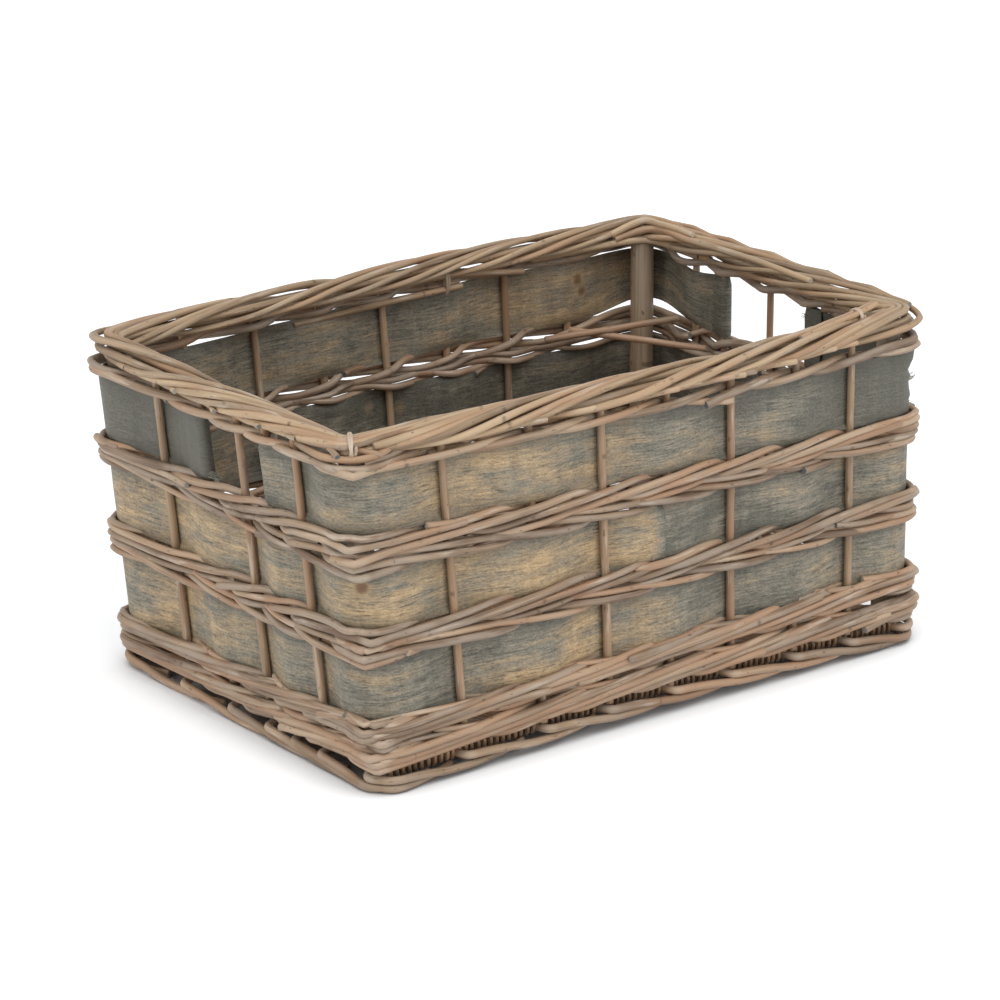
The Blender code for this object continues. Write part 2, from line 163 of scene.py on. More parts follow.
STAKES = [name for wall in WALL_NAMES for name in stake_names(wall)]
LEFT, RIGHT = short_wall("left"), short_wall("right")
NEAR, FAR = long_wall("near"), long_wall("far")
BULGE = (FAR[2] - NEAR[2]) / 2
RIM_TOP = cad_high.z
STAKE_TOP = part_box(STAKES[0])[1].z
RUN_X = 2 * (middle_and_half(LEFT, RIGHT, RIM_TOP / 2)[1] - CORNER_RADIUS)
RUN_Y = 2 * (middle_and_half(NEAR, FAR, RIM_TOP / 2)[1] - CORNER_RADIUS)
RUNS = (RUN_X, RUN_Y, RUN_X, RUN_Y)
ARC = CORNER_RADIUS * math.pi / 2
RING = sum(RUNS) + 4 * ARC


def wall_point(s, z, out):
    """A point of the wall: s runs anticlockwise from the near left bend, out points outwards."""
    mid_x, half_x = middle_and_half(LEFT, RIGHT, z)
    mid_y, half_y = middle_and_half(NEAR, FAR, z)
    inner = (half_x - CORNER_RADIUS, half_y - CORNER_RADIUS)
    s = s % RING
    for wall, run in enumerate(RUNS):
        turn = wall * math.pi / 2
        forward = Vector((math.cos(turn), math.sin(turn), 0))
        outward = Vector((math.sin(turn), -math.cos(turn), 0))
        along, across = inner if wall % 2 == 0 else inner[::-1]
        if s <= run:
            share = 2 * s / run - 1
            bulge = BULGE * z * (1 - share ** 2) if wall % 2 == 0 else 0.0
            place = forward * along * share + outward * (across + CORNER_RADIUS + out + bulge)
            break
        s -= run
        if s <= ARC or wall == 3:
            angle = s / CORNER_RADIUS
            reach = CORNER_RADIUS + out
            place = forward * (along + math.sin(angle) * reach)
            place += outward * (across + math.cos(angle) * reach)
            break
        s -= ARC
    return place + Vector((mid_x, mid_y, z))


def corner_at(number):
    """Distance along the ring at which bend 0 to 3 starts."""
    return sum(RUNS[: number + 1]) + number * ARC


def distance_along(name):
    """Distance along the ring of a stake of the frame."""
    wall = WALL_NAMES.index(name.split("_")[1])
    foot = ends_of(name)[0]
    mid_x, half_x = middle_and_half(LEFT, RIGHT, foot.z)
    mid_y, half_y = middle_and_half(NEAR, FAR, foot.z)
    place = (foot.x - mid_x, foot.y - mid_y, mid_x - foot.x, mid_y - foot.y)[wall]
    along = (half_x if wall % 2 == 0 else half_y) - CORNER_RADIUS
    start = corner_at(wall - 1) + ARC if wall else 0.0
    return start + RUNS[wall] * (place / along + 1) / 2


STAKE_S = [distance_along(name) for name in STAKES]
print(f"wall line: {RING:.3f} m round, {len(STAKES)} stakes, bulge {BULGE * RIM_TOP * 1000:.1f} mm")

# %% [markdown]
# Rows that slip
#
# A weaver beats the rows down by hand, so on the real basket a row climbs at one corner and
# sinks at the next. The frame keeps the rows level. A small slip, in millimetres, moves them to
# the heights that the photograph shows at the corners. The near foot edge also arches off the
# floor between its corners. All pieces use the same slip, so they stay on top of each other.

# %% Slip of the rows
ROW_TOPS = [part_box(name)[1].z for name in (
    "base_wale_high_1", "strip_bottom", "band_low_wale_1",
    "strip_middle", "band_high_wale_1", "strip_top_front",
)]
SLIP_LEVELS = [0.0] + ROW_TOPS + [STAKE_TOP]
# One line for each corner: near right, far right, far left, near left
CORNER_SLIP_MM = (
    (0.0, 9.5, 2.4, 0.0, -5.4, -9.9, -10.2, 0.0),
    (0.0, 0.0, 0.0, -2.0, -4.0, -4.0, -3.0, 0.0),
    (0.0, -8.3, -3.6, -2.1, -1.4, -7.9, -4.2, 0.0),
    (0.0, 3.7, 1.4, 2.9, -3.4, 2.1, 0.8, 0.0),
)
FOOT_ARCH = 0.0055
ARCH_TOP = 0.050
CORNER_MIDDLES = [corner_at(number) + ARC / 2 for number in range(4)]


def slip(s, z):
    """How far a row at height z has slipped up or down, at s along the ring."""
    s = s % RING
    stops = [CORNER_MIDDLES[3] - RING] + CORNER_MIDDLES + [CORNER_MIDDLES[0] + RING]
    rows = (CORNER_SLIP_MM[3],) + CORNER_SLIP_MM + (CORNER_SLIP_MM[0],)
    heights = [np.interp(z, SLIP_LEVELS, row) for row in rows]
    moved = 0.001 * float(np.interp(s, stops, heights))
    if s < RUN_X and z < ARCH_TOP:
        moved += FOOT_ARCH * (1 - (2 * s / RUN_X - 1) ** 2) * (1 - z / ARCH_TOP)
    return moved


def place(s, z, out):
    """A point of the woven wall, slip included."""
    return wall_point(s, z + slip(s, z), out)


def spot(wall, share):
    """Distance along the ring of a share of a wall's straight run."""
    number = WALL_NAMES.index(wall)
    return (corner_at(number - 1) + ARC if number else 0.0) + share * RUNS[number]


print("slip at the near left corner:", round(slip(CORNER_MIDDLES[3], ROW_TOPS[2]) * 1000, 1), "mm")

# %% [markdown]
# Smooth lines through a few marks
#
# A rod is stiff: it bends in long smooth waves. So each rod is planned with a few marks, such
# as in front of this stake or behind that one, and a cubic curve is drawn through them.
# Only at the corners does a rod kink, at one point or at two, where the weaver pinched it round
# the post.

# %% Smooth curves
def smooth(knots, values, at):
    """Cubic curve through values at rising knots, read at the places in at."""
    knots = np.asarray(knots, float)
    values = np.asarray(values, float)
    at = np.asarray(at, float)
    slopes = np.gradient(values, knots, axis=0)
    index = np.clip(np.searchsorted(knots, at, side="right") - 1, 0, len(knots) - 2)
    width = (knots[index + 1] - knots[index])[:, None]
    t = (at[:, None] - knots[index][:, None]) / width
    start = values[index] * (1 + 2 * t) + slopes[index] * width * t
    end = values[index + 1] * (3 - 2 * t) + slopes[index + 1] * width * (t - 1)
    return start * (1 - t) ** 2 + end * t ** 2


def smooth_points(points, spacing):
    """Even points on a smooth curve through a list of places in space."""
    points = np.array([tuple(p) for p in points], float)
    steps = np.linalg.norm(np.diff(points, axis=0), axis=1)
    knots = np.concatenate(([0.0], np.cumsum(steps)))
    count = max(2, int(round(knots[-1] / spacing)) + 1)
    return [Vector(p) for p in smooth(knots, points, np.linspace(0, knots[-1], count))]


def ramp(value, low, high):
    """0 below low, 1 above high, and an even rise between."""
    return min(1.0, max(0.0, (value - low) / (high - low)))


def between(low, high, share):
    """The value at a share of the way from low to high."""
    return low + (high - low) * share


# Extra millimetres outwards round a bend, against the share of the bend
CHORD_BEND = ((-0.35, 0.0, 0.3, 0.5, 0.7, 1.0, 1.35), (0.0, 0.5, 2.6, 1.2, 2.6, 0.5, 0.0))
POINT_KINK_MM = 7.5
POINT_SHARES = np.linspace(0.0, 1.0, 21)
POINT_TURNS = POINT_SHARES * np.pi / 2
# How far a square corner stands outside its arc, next to the arc's radius
CORNER_FORM = 1 / np.maximum(np.cos(POINT_TURNS), np.sin(POINT_TURNS)) - 1
POINT_BEND = (POINT_SHARES, POINT_KINK_MM * CORNER_FORM / (math.sqrt(2) - 1))
ROD_STEP = 0.0045
CORNER_STEP = 0.0014
# How sharp the kinks are at each corner: near right, far right, far left, near left
ROW_SHARPNESS = (0.40, 1.0, 0.45, 1.25)
BORDER_SHARPNESS = (0.25, 0.75, 0.15, 0.60)


def from_middle(s, middle):
    """Signed distance along the ring from a place to another, the short way round."""
    return (s - middle + RING / 2) % RING - RING / 2


def nearest_corner(s):
    """Number of the bend that is nearest to a place on the ring."""
    return min(range(4), key=lambda number: abs(from_middle(s, CORNER_MIDDLES[number])))


def corner_share(s):
    """How far through the nearest bend a place is: 0 at its start and 1 at its end."""
    return from_middle(s, CORNER_MIDDLES[nearest_corner(s)]) / ARC + 0.5


def kinked(s, bend, turn=0.0, sharpness=ROW_SHARPNESS):
    """Extra reach of a rod that kinks round a corner post in place of bending."""
    reach = float(np.interp(corner_share(s) + turn, *bend))
    return 0.001 * reach * sharpness[nearest_corner(s)]


def stations(first, last):
    """Places along the ring at which a rod is drawn, close together round the corners."""
    found = [first]
    while found[-1] < last:
        at_corner = abs(corner_share(found[-1]) - 0.5) < 0.95
        found.append(found[-1] + (CORNER_STEP if at_corner else ROD_STEP))
    return np.array(found)


print("a curve through 3 marks:", len(smooth_points([(0, 0, 0), (0.1, 0, 0), (0.2, 0.1, 0)], 0.01)))

# %% [markdown]
# One Geometry Nodes tree for every rod
#
# Hundreds of rods share one rule: a round section follows a line, thick at the butt and thin at
# the tip. That is work for Geometry Nodes. The lines come in as a mesh of edges that carries
# each rod's girth. The tree turns the edges into curves, sweeps a circle along them, closes the
# ends, and stores where each point lies along and around its rod, so that the wood grain can
# follow the rod wherever it bends.

# %% A small language for node trees
class Wire:
    """An output of a node. Arithmetic on it adds Math nodes to its tree."""

    def __init__(self, tree, node, output=0):
        self.tree = tree
        self.node = node
        self.socket = node.outputs[output] if len(node.outputs) else None

    def __getitem__(self, output):
        return Wire(self.tree, self.node, output)

    def maths(self, operation, *values):
        settings = {"operation": operation}
        return self.tree.add("ShaderNodeMath", settings, dict(enumerate(values)))

    def __add__(self, other):
        return self.maths("ADD", self, other)

    def __radd__(self, other):
        return self.maths("ADD", other, self)

    def __sub__(self, other):
        return self.maths("SUBTRACT", self, other)

    def __rsub__(self, other):
        return self.maths("SUBTRACT", other, self)

    def __mul__(self, other):
        return self.maths("MULTIPLY", self, other)

    def __rmul__(self, other):
        return self.maths("MULTIPLY", other, self)

    def over(self, limit):
        """1 where the value is above the limit, else 0."""
        return self.maths("GREATER_THAN", self, limit)

    def clamped(self):
        return self.tree.add("ShaderNodeClamp", {}, {"Value": self})

    def between(self, low, high):
        """0 below low, 1 above high, smooth between."""
        settings = {"interpolation_type": "SMOOTHSTEP"}
        return self.tree.add("ShaderNodeMapRange", settings, {0: self, 1: low, 2: high})


class Tree:
    """Adds nodes to a node tree: the settings first, then the values or links of its sockets."""

    def __init__(self, nodes_in):
        self.nodes_in = nodes_in

    def add(self, kind, settings=None, values=None, output=0):
        node = self.nodes_in.nodes.new(kind)
        for name, value in (settings or {}).items():
            if name == "stops":
                self.set_stops(node.color_ramp, value)
            else:
                setattr(node, name, value)
        for key, value in (values or {}).items():
            if isinstance(value, Wire):
                self.nodes_in.links.new(value.socket, node.inputs[key])
            else:
                node.inputs[key].default_value = value
        return Wire(self, node, output)

    def set_stops(self, color_ramp, stops):
        elements = color_ramp.elements
        while len(elements) < len(stops):
            elements.new(1.0)
        for element, (position, colour) in zip(elements, stops):
            element.position = position
            element.color = (*colour, 1.0)

    def scaled(self, vector, factors):
        return self.add("ShaderNodeVectorMath", {"operation": "MULTIPLY"}, {0: vector, 1: factors})

    def noise(self, vector, factors, detail=2.0, roughness=0.5, distortion=0.0):
        """Noise with a number of waves per metre on each axis of a vector."""
        values = {"Vector": self.scaled(vector, factors), "Scale": 1.0, "Detail": detail}
        values.update({"Roughness": roughness, "Distortion": distortion})
        return self.add("ShaderNodeTexNoise", {}, values)

    def mixed(self, share, first, second, blend="MIX"):
        """Two colours mixed by a share."""
        colours = [c if isinstance(c, Wire) else (*c, 1.0) for c in (first, second)]
        settings = {"data_type": "RGBA", "blend_type": blend}
        values = {0: share, 6: colours[0], 7: colours[1]}
        return self.add("ShaderNodeMix", settings, values, output=2)


print("node helpers ready")

# %% The rod tree
def named(tree, name, kind="FLOAT"):
    """A field that reads a named attribute."""
    return tree.add("GeometryNodeInputNamedAttribute", {"data_type": kind}, {"Name": name})


def stored(tree, geometry, name, value, kind="FLOAT", domain="POINT"):
    settings = {"data_type": kind, "domain": domain}
    return tree.add("GeometryNodeStoreNamedAttribute", settings,
                    {"Geometry": geometry, "Name": name, "Value": value})


def build_rod_tree():
    """Edges with a girth in, round rods with closed ends out."""
    group = bpy.data.node_groups.new("willow rods", "GeometryNodeTree")
    group.interface.new_socket("Lines", in_out="INPUT", socket_type="NodeSocketGeometry")
    sides = group.interface.new_socket("Sides", in_out="INPUT", socket_type="NodeSocketInt")
    sides.default_value = 9
    group.interface.new_socket("Finish", in_out="INPUT", socket_type="NodeSocketMaterial")
    group.interface.new_socket("Rods", in_out="OUTPUT", socket_type="NodeSocketGeometry")
    tree = Tree(group)
    given = tree.add("NodeGroupInput")
    curve = tree.add("GeometryNodeMeshToCurve", {}, {"Mesh": given["Lines"]})
    length = tree.add("GeometryNodeSplineParameter", output="Length")
    curve = stored(tree, curve, "along", length)
    circle = tree.add("GeometryNodeCurvePrimitiveCircle", {"mode": "RADIUS"},
                      {"Resolution": given["Sides"], "Radius": 1.0})
    circle = stored(tree, circle, "round", tree.add("GeometryNodeInputPosition"), "FLOAT_VECTOR")
    swept = tree.add("GeometryNodeCurveToMesh", {}, {
        "Curve": curve, "Profile Curve": circle, "Scale": named(tree, "girth"), "Fill Caps": True})
    around = tree.add("ShaderNodeSeparateXYZ", {}, {0: named(tree, "round", "FLOAT_VECTOR")})
    girth = named(tree, "girth")
    grain = tree.add("ShaderNodeCombineXYZ", {}, {
        0: around["X"] * girth, 1: around["Y"] * girth, 2: named(tree, "along")})
    offset = named(tree, "start", "FLOAT_VECTOR")
    grain = tree.add("ShaderNodeVectorMath", {"operation": "ADD"}, {0: grain, 1: offset})
    swept = stored(tree, swept, "grain", grain, "FLOAT_VECTOR")
    corners = tree.add("GeometryNodeInputMeshFaceNeighbors")
    swept = stored(tree, swept, "cut", corners.over(4.5), "FLOAT", "FACE")
    sharp = tree.add("GeometryNodeInputMeshEdgeAngle").over(math.radians(50))
    swept = tree.add("GeometryNodeSetShadeSmooth", {"domain": "EDGE"},
                     {"Geometry": swept, "Selection": sharp, "Shade Smooth": False})
    swept = tree.add("GeometryNodeRealizeInstances", {}, {"Geometry": swept})
    swept = tree.add("GeometryNodeSetMaterial", {}, {
        "Geometry": swept, "Material": given["Finish"]})
    tree.add("NodeGroupOutput", {}, {"Rods": swept})
    return group


ROD_TREE = build_rod_tree()
print(f"rod tree: {len(ROD_TREE.nodes)} nodes")

# %% [markdown]
# Rods as data
#
# A rod is a list of points, a radius at each end and a tone. It swells a little where a bud
# sat, and its ends are chamfered by a hair, as a knife leaves them. Every piece below collects
# its rods in a bundle and then grows them all in one go.

# %% Bundles of rods
CHAMFER = 0.0004
BUD_SWELL = 0.05
BUD_EVERY = (0.10, 0.32)
SOFT_TURN = math.radians(7)
SHARP_TURN = math.radians(22)
GIRTH_WAVE = 0.05


def keep(mesh, name, values, kind="FLOAT"):
    """Store a number or a vector for each point of a mesh."""
    layer = mesh.attributes.new(name, kind, "POINT")
    layer.data.foreach_set("value" if kind == "FLOAT" else "vector", values)


class Bundle:
    """Rods that become one piece."""

    def __init__(self, seed):
        self.chance = random.Random(seed)
        self.lines = []

    def add(self, points, butt, tip, tone=None):
        """A rod along points, from its thick end to its thin end."""
        first, second = points[0], points[1]
        before, last = points[-2], points[-1]
        head = first + (second - first).normalized() * CHAMFER
        tail = last + (before - last).normalized() * CHAMFER
        line = [first, head] + points[1:-1] + [tail, last]
        count = len(line)
        chance = self.chance
        wave = chance.uniform(0, 90)
        girths, buds, bends = [], [], []
        next_bud = chance.uniform(*BUD_EVERY) * 0.5
        gone = 0.0
        for k, point in enumerate(line):
            gone += (point - line[max(k - 1, 0)]).length
            girth = butt + (tip - butt) * k / (count - 1)
            girth *= 1 + GIRTH_WAVE * noise.noise(Vector((gone * 40, wave, 0)))
            bud = gone > next_bud
            if bud:
                next_bud += chance.uniform(*BUD_EVERY)
            girths.append(girth * (1 + BUD_SWELL * bud))
            buds.append(float(bud))
            bends.append(self.turning(line, k))
        girths[0] -= min(CHAMFER, butt * 0.2)
        girths[-1] -= min(CHAMFER, tip * 0.2)
        tone = chance.random() if tone is None else tone
        shift = [chance.uniform(-5, 5) for _ in range(3)]
        padded = [0.0, 0.0] + bends + [0.0, 0.0]
        bends = [sum(padded[k: k + 5]) / 5 for k in range(count)]
        self.lines.append((line, girths, buds, bends, tone, shift))

    def turning(self, line, k):
        """How sharply a line turns at its point k: 1 for a kink, and 0 for straight."""
        if k < 2 or k > len(line) - 3:
            return 0.0
        before, after = line[k] - line[k - 1], line[k + 1] - line[k]
        return ramp(before.angle(after, 0.0), SOFT_TURN, SHARP_TURN)

    def grow(self, name, finish, sides=9):
        """Run the rod tree on the lines and keep its result as a plain mesh."""
        places, edges, girths, buds, bends, tones, shifts = [], [], [], [], [], [], []
        for line, widths, marks, turns, tone, shift in self.lines:
            first = len(places)
            places += [tuple(p) for p in line]
            edges += [(first + k, first + k + 1) for k in range(len(line) - 1)]
            girths += widths
            buds += marks
            bends += turns
            tones += [tone] * len(line)
            shifts += shift * len(line)
        guide = bpy.data.meshes.new(name + "_lines")
        guide.from_pydata(places, edges, [])
        fields = {"girth": girths, "bud": buds, "bend": bends, "tone": tones}
        for field, values in fields.items():
            keep(guide, field, values)
        keep(guide, "start", shifts, "FLOAT_VECTOR")
        piece = in_scene(name, guide)
        grower = piece.modifiers.new("rods", "NODES")
        grower.node_group = ROD_TREE
        inputs = {item.name: item.identifier for item in ROD_TREE.interface.items_tree
                  if item.in_out == "INPUT"}
        grower[inputs["Sides"]] = sides
        grower[inputs["Finish"]] = finish
        graph = bpy.context.evaluated_depsgraph_get()
        mesh = bpy.data.meshes.new_from_object(
            piece.evaluated_get(graph), preserve_all_data_layers=True, depsgraph=graph)
        piece.modifiers.remove(grower)
        piece.data = mesh
        mesh.name = name
        bpy.data.meshes.remove(guide)
        for spare in ("round", "along", "start"):
            mesh.attributes.remove(mesh.attributes[spare])
        print(f"{name}: {len(self.lines)} rods, {len(mesh.polygons)} faces")
        return piece


def seat(piece, slot, *replaced):
    """Fix a finished piece to the basket's one body, in place of its plain solids."""
    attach(piece, "root")
    if replaced:
        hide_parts(*replaced)
    return piece


def frame_nodes(start):
    """The frame's nodes whose names begin with these letters."""
    return [name for name in sorted(nodes) if name.startswith(start)]


print("bundles ready:", len(frame_nodes("corner_post_")), "posts to dress in the frame")

# %% [markdown]
# Willow
#
# Willow rods are smooth, with a grain that runs their whole length, small dark scars where buds
# sat, and slow changes from tan to red brown and grey. The colour comes from noise stretched
# along the rod, shifted for each rod, and a tone of the rod's own. The knife cuts show paler
# wood, often weathered to a blue grey.

# %% Willow finish
def new_finish(name):
    """An empty Principled material and its tree."""
    finish = bpy.data.materials.new(name)
    finish.use_nodes = True
    return finish, Tree(finish.node_tree), finish.node_tree.nodes["Principled BSDF"]


def attribute(tree, name, output="Fac"):
    return tree.add("ShaderNodeAttribute", {"attribute_name": name}, output=output)


def feed(tree, shader, socket, wire):
    tree.nodes_in.links.new(wire.socket, shader.inputs[socket])


def bumped(tree, height, strength, distance):
    values = {"Height": height, "Strength": strength, "Distance": distance}
    return tree.add("ShaderNodeBump", {}, values)


CUT_PALE = (0.50, 0.46, 0.38)
CUT_GREY = (0.13, 0.145, 0.15)
# Pale wood of rubbed bark, also used as a painted highlight on the kinks and on patches of the rods
RUBBED_AND_HIGHLIGHT = (0.60, 0.50, 0.40)


def willow(name, dark, light, red, grey, grey_share=0.25, pale_cuts=0.5, coarse=1.0,
           rubbing_and_highlight=1.0):
    """Smooth willow: dark to light along the grain, with red and grey stretches."""
    finish, tree, shader = new_finish(name)
    grain = tree.scaled(attribute(tree, "grain", "Vector"), (1 / coarse,) * 3)
    tone = attribute(tree, "tone")
    streaks = tree.noise(grain, (900, 900, 20), detail=3.0)
    fine = tree.noise(grain, (2600, 2600, 110), detail=2.0)
    drift = tree.noise(grain, (60, 60, 14), detail=2.0)
    hue = tree.noise(grain, (35, 35, 9), detail=1.0)
    shade = (tone - 0.5) * 0.9 + (drift - 0.5) * 1.7 + (streaks - 0.5) * 1.4 + 0.5
    colour = tree.mixed(shade.clamped(), dark, light)
    colour = tree.mixed((hue + tone * 0.2).between(0.56, 0.74) * 0.6, colour, red)
    weather = tree.noise(grain, (90, 90, 21), detail=3.0)
    greyed = (weather + (1 - tone) * 0.22).between(0.60, 0.80) * grey_share * 2.0
    colour = tree.mixed(greyed.clamped(), colour, grey)
    scars = tree.noise(grain, (420, 420, 190), detail=1.0).between(0.70, 0.77)
    colour = tree.mixed(scars * 0.6, colour, tuple(0.35 * c for c in dark))
    blot = tree.noise(grain, (330, 330, 80), detail=1.0).between(0.46, 0.60)
    bud = attribute(tree, "bud").between(0.45, 0.95) * blot
    colour = tree.mixed(bud * 0.6, colour, tuple(0.40 * c for c in dark))
    # Pale patches and pale kinks: partly rubbed and scraped wood, partly a painted highlight on the
    # knuckles and along the rods
    worn_and_highlight_area = tree.noise(grain, (70, 70, 16), detail=2.0).between(0.52, 0.62)
    scraped_and_highlight = tree.noise(grain, (420, 420, 40), detail=3.0).between(0.50, 0.66) * worn_and_highlight_area
    rubbed_and_highlight = (attribute(tree, "bend") * 0.8 + scraped_and_highlight * 0.6).clamped() * rubbing_and_highlight
    colour = tree.mixed(rubbed_and_highlight, colour, RUBBED_AND_HIGHLIGHT)
    cut = attribute(tree, "cut")
    cut_tone = tree.mixed((tone * 2.2 - 1.1 + pale_cuts).clamped(), CUT_GREY, CUT_PALE)
    colour = tree.mixed(cut, colour, cut_tone)
    feed(tree, shader, "Base Color", colour)
    feed(tree, shader, "Roughness", 0.52 + (streaks - 0.5) * 0.35 + cut * 0.25)
    height = streaks * 0.6 + fine * 0.4 - scars * 0.8
    feed(tree, shader, "Normal", bumped(tree, height, 0.35, 0.0006))
    shader.inputs["Specular IOR Level"].default_value = 0.40
    return finish


BROWN_WILLOW = willow("brown_willow", (0.165, 0.104, 0.066), (0.50, 0.365, 0.248),
                      (0.385, 0.212, 0.120), (0.385, 0.310, 0.240), 0.36)
STAKE_WILLOW = willow("stake_willow", (0.20, 0.130, 0.080), (0.47, 0.325, 0.205),
                      (0.36, 0.205, 0.120), (0.36, 0.290, 0.225), 0.15)
POST_WILLOW = willow("post_willow", (0.20, 0.145, 0.098), (0.60, 0.465, 0.330),
                     (0.44, 0.290, 0.185), (0.42, 0.360, 0.300), 0.45, coarse=1.7)
BORDER_WILLOW = willow("border_willow", (0.21, 0.135, 0.080), (0.54, 0.392, 0.245),
                       (0.42, 0.245, 0.140), (0.43, 0.350, 0.265), 0.15, pale_cuts=0.1)
BASE_WILLOW = willow("base_willow", (0.165, 0.093, 0.048), (0.38, 0.225, 0.120),
                     (0.30, 0.150, 0.075), (0.26, 0.180, 0.115), 0.05, rubbing_and_highlight=0.1)
FOOT_WILLOW = willow("foot_willow", (0.20, 0.130, 0.080), (0.49, 0.345, 0.225),
                     (0.38, 0.220, 0.130), (0.38, 0.310, 0.245), 0.2)
print("willow finishes ready")

# %% [markdown]
# Stakes and corner posts
#
# The stakes are the upright rods that everything is woven on. They could be plain cylinders,
# but real ones sway a little, swell at the buds and taper to the top. Each follows its own
# stake of the frame, so the weaving still fits round it. The four posts are stouter sticks
# that stand inside the corners.

# %% Stakes
STAKE_RADIUS = 0.0030
STAKE_SWAY = 0.0006
STAKE_PROUD = 0.004
# Share of a stake's height at its foot that the waling hides, where it turns into a foot rod
HIDDEN_FOOT = 0.045


def swayed(points, amount, seed):
    """Points moved a little off their line by slow noise, least at the ends."""
    moved = []
    for k, point in enumerate(points):
        share = k / (len(points) - 1)
        wave = noise.noise_vector(Vector((point.length * 9, seed * 7.3, share * 2.0)))
        moved.append(point + wave * amount * (0.4 + math.sin(math.pi * share)))
    return moved


def upright_line(name, proud, sway, seed, hidden=0.0):
    """The line of an upright piece of the frame, taken a little past its head."""
    foot, head = ends_of(name)
    foot = foot.lerp(head, hidden)
    head = head + Vector((0, 0, proud))
    return swayed([foot.lerp(head, k / 40) for k in range(41)], sway, seed)


def make_stakes():
    bundle = Bundle(11)
    for number, name in enumerate(STAKES):
        line = upright_line(name, STAKE_PROUD, STAKE_SWAY, number, HIDDEN_FOOT)
        girth = STAKE_RADIUS * bundle.chance.uniform(0.92, 1.0)
        bundle.add(line, girth, girth * 0.88, tone=bundle.chance.uniform(0.35, 0.9))
    piece = bundle.grow("stakes", STAKE_WILLOW, sides=12)
    return seat(piece, "stake_willow", *STAKES)


make_stakes()

# %% Corner posts
POST_RADIUS = 0.0085
POST_SWAY = 0.0005
POST_PROUD = 0.005


def make_posts():
    bundle = Bundle(12)
    for number, name in enumerate(frame_nodes("corner_post_")):
        line = upright_line(name, POST_PROUD, POST_SWAY, number + 40)
        bundle.add(line, POST_RADIUS, POST_RADIUS * 0.97, tone=bundle.chance.uniform(0.4, 0.6))
    piece = bundle.grow("corner_posts", POST_WILLOW, sides=28)
    return seat(piece, "post_wood", *frame_nodes("corner_post_"))


make_posts()

# %% [markdown]
# Woven rows
#
# In a wale of three rods, each rod goes in front of two stakes and behind the next, a stake
# behind the rod before it, so it seems to climb like a rope. A pair does the same with one
# stake in front and one behind, and the base has two rows of four rods. A pattern says, for
# each stake and each gap after it, on which side of the stake line the rod is and how far up
# its row. The smooth curve does the rest.
# No willow rod is long enough to go all round: each strand is cut into rods of their own
# length, a new butt laid in beside the last tip, with its cut end sticking out a little.

# %% Strands through the stakes
TRIPLE = ((-1, 0.5), (0, 0.0), (1, 0.25), (1, 0.5), (1, 0.75), (0, 0.90))
PAIR = ((-1, 0.5), (0, 0.0), (1, 0.5), (0, 1.0))
QUAD = (
    (-1, 0.5), (0.1, 0.04), (0.9, 0.14), (1.1, 0.30), (1.2, 0.46), (1.3, 0.60), (1.15, 0.72),
    (0.2, 0.76),
)
LAST_STAKES = [sum(len(stake_names(w)) for w in WALL_NAMES[: k + 1]) - 1 for k in range(4)]
# All the rods pass outside the corner posts, at least this share of their full reach
CORNER_REACH = 0.75
DIVE_SHARE = 0.70


def strand_marks(pattern, shift, radius, bottom, rise, falling):
    """Marks of (distance, height, out) of one strand, once round the basket."""
    marks = []
    reach = STAKE_RADIUS + radius * 0.96
    count = len(pattern)
    for index, station in enumerate(STAKE_S):
        step = 2 * (index - shift) % count
        side, share = pattern[step]
        side_next, share_next = pattern[(step + 1) % count]
        shares = [1 - h if falling else h for h in (share, share_next)]
        heights = [bottom + radius + rise * h for h in shares]
        marks.append((station, heights[0], side * reach))
        following = STAKE_S[index + 1] if index + 1 < len(STAKE_S) else STAKE_S[0] + RING
        if index in LAST_STAKES:
            bend = corner_at(LAST_STAKES.index(index))
            out = max(side_next, CORNER_REACH) * reach
            marks.append((bend - ARC * 0.1, heights[1], out))
            marks.append((bend + ARC * 1.1, heights[1], out))
        elif abs(side_next) < 0.5:
            # The rod dives just before the stake that it goes behind, and comes out just after
            near = DIVE_SHARE if side > 0 else 1 - DIVE_SHARE
            marks.append((between(station, following, near), heights[1], side_next * reach))
    return marks


def closed_strand(marks):
    """A function from distance along the ring to (height, out), smooth and without an end."""
    lap = [(s - RING, z, out) for s, z, out in marks[-4:]]
    ahead = [(s + RING, z, out) for s, z, out in marks[:4]]
    table = np.array(lap + marks + ahead)

    def read(places):
        return smooth(table[:, 0], table[:, 1:], np.asarray(places) % RING)
    return read


# How far a rod reaches past its share of the strand, at its butt and at its tip
LAP_IN = (0.008, 0.016)
LAP_OUT = (0.004, 0.014)
# The stretch over which an end leaves the strand, and how far out it stands, in its radii
END_BEND = 0.040
BUTT_REACH = (0.6, 1.8)
TIP_REACH = (0.3, 1.2)
HIDDEN_REACH = -1.5
WOBBLE = 0.0009


def end_shift(chance, radius, ends_out, reach):
    """How far up and how far out the end of a rod lies: in sight, or behind its neighbours."""
    up = chance.uniform(-1, 1) * radius * 1.2
    out = radius * (chance.uniform(*reach) if chance.random() < ends_out else HIDDEN_REACH)
    return up, out


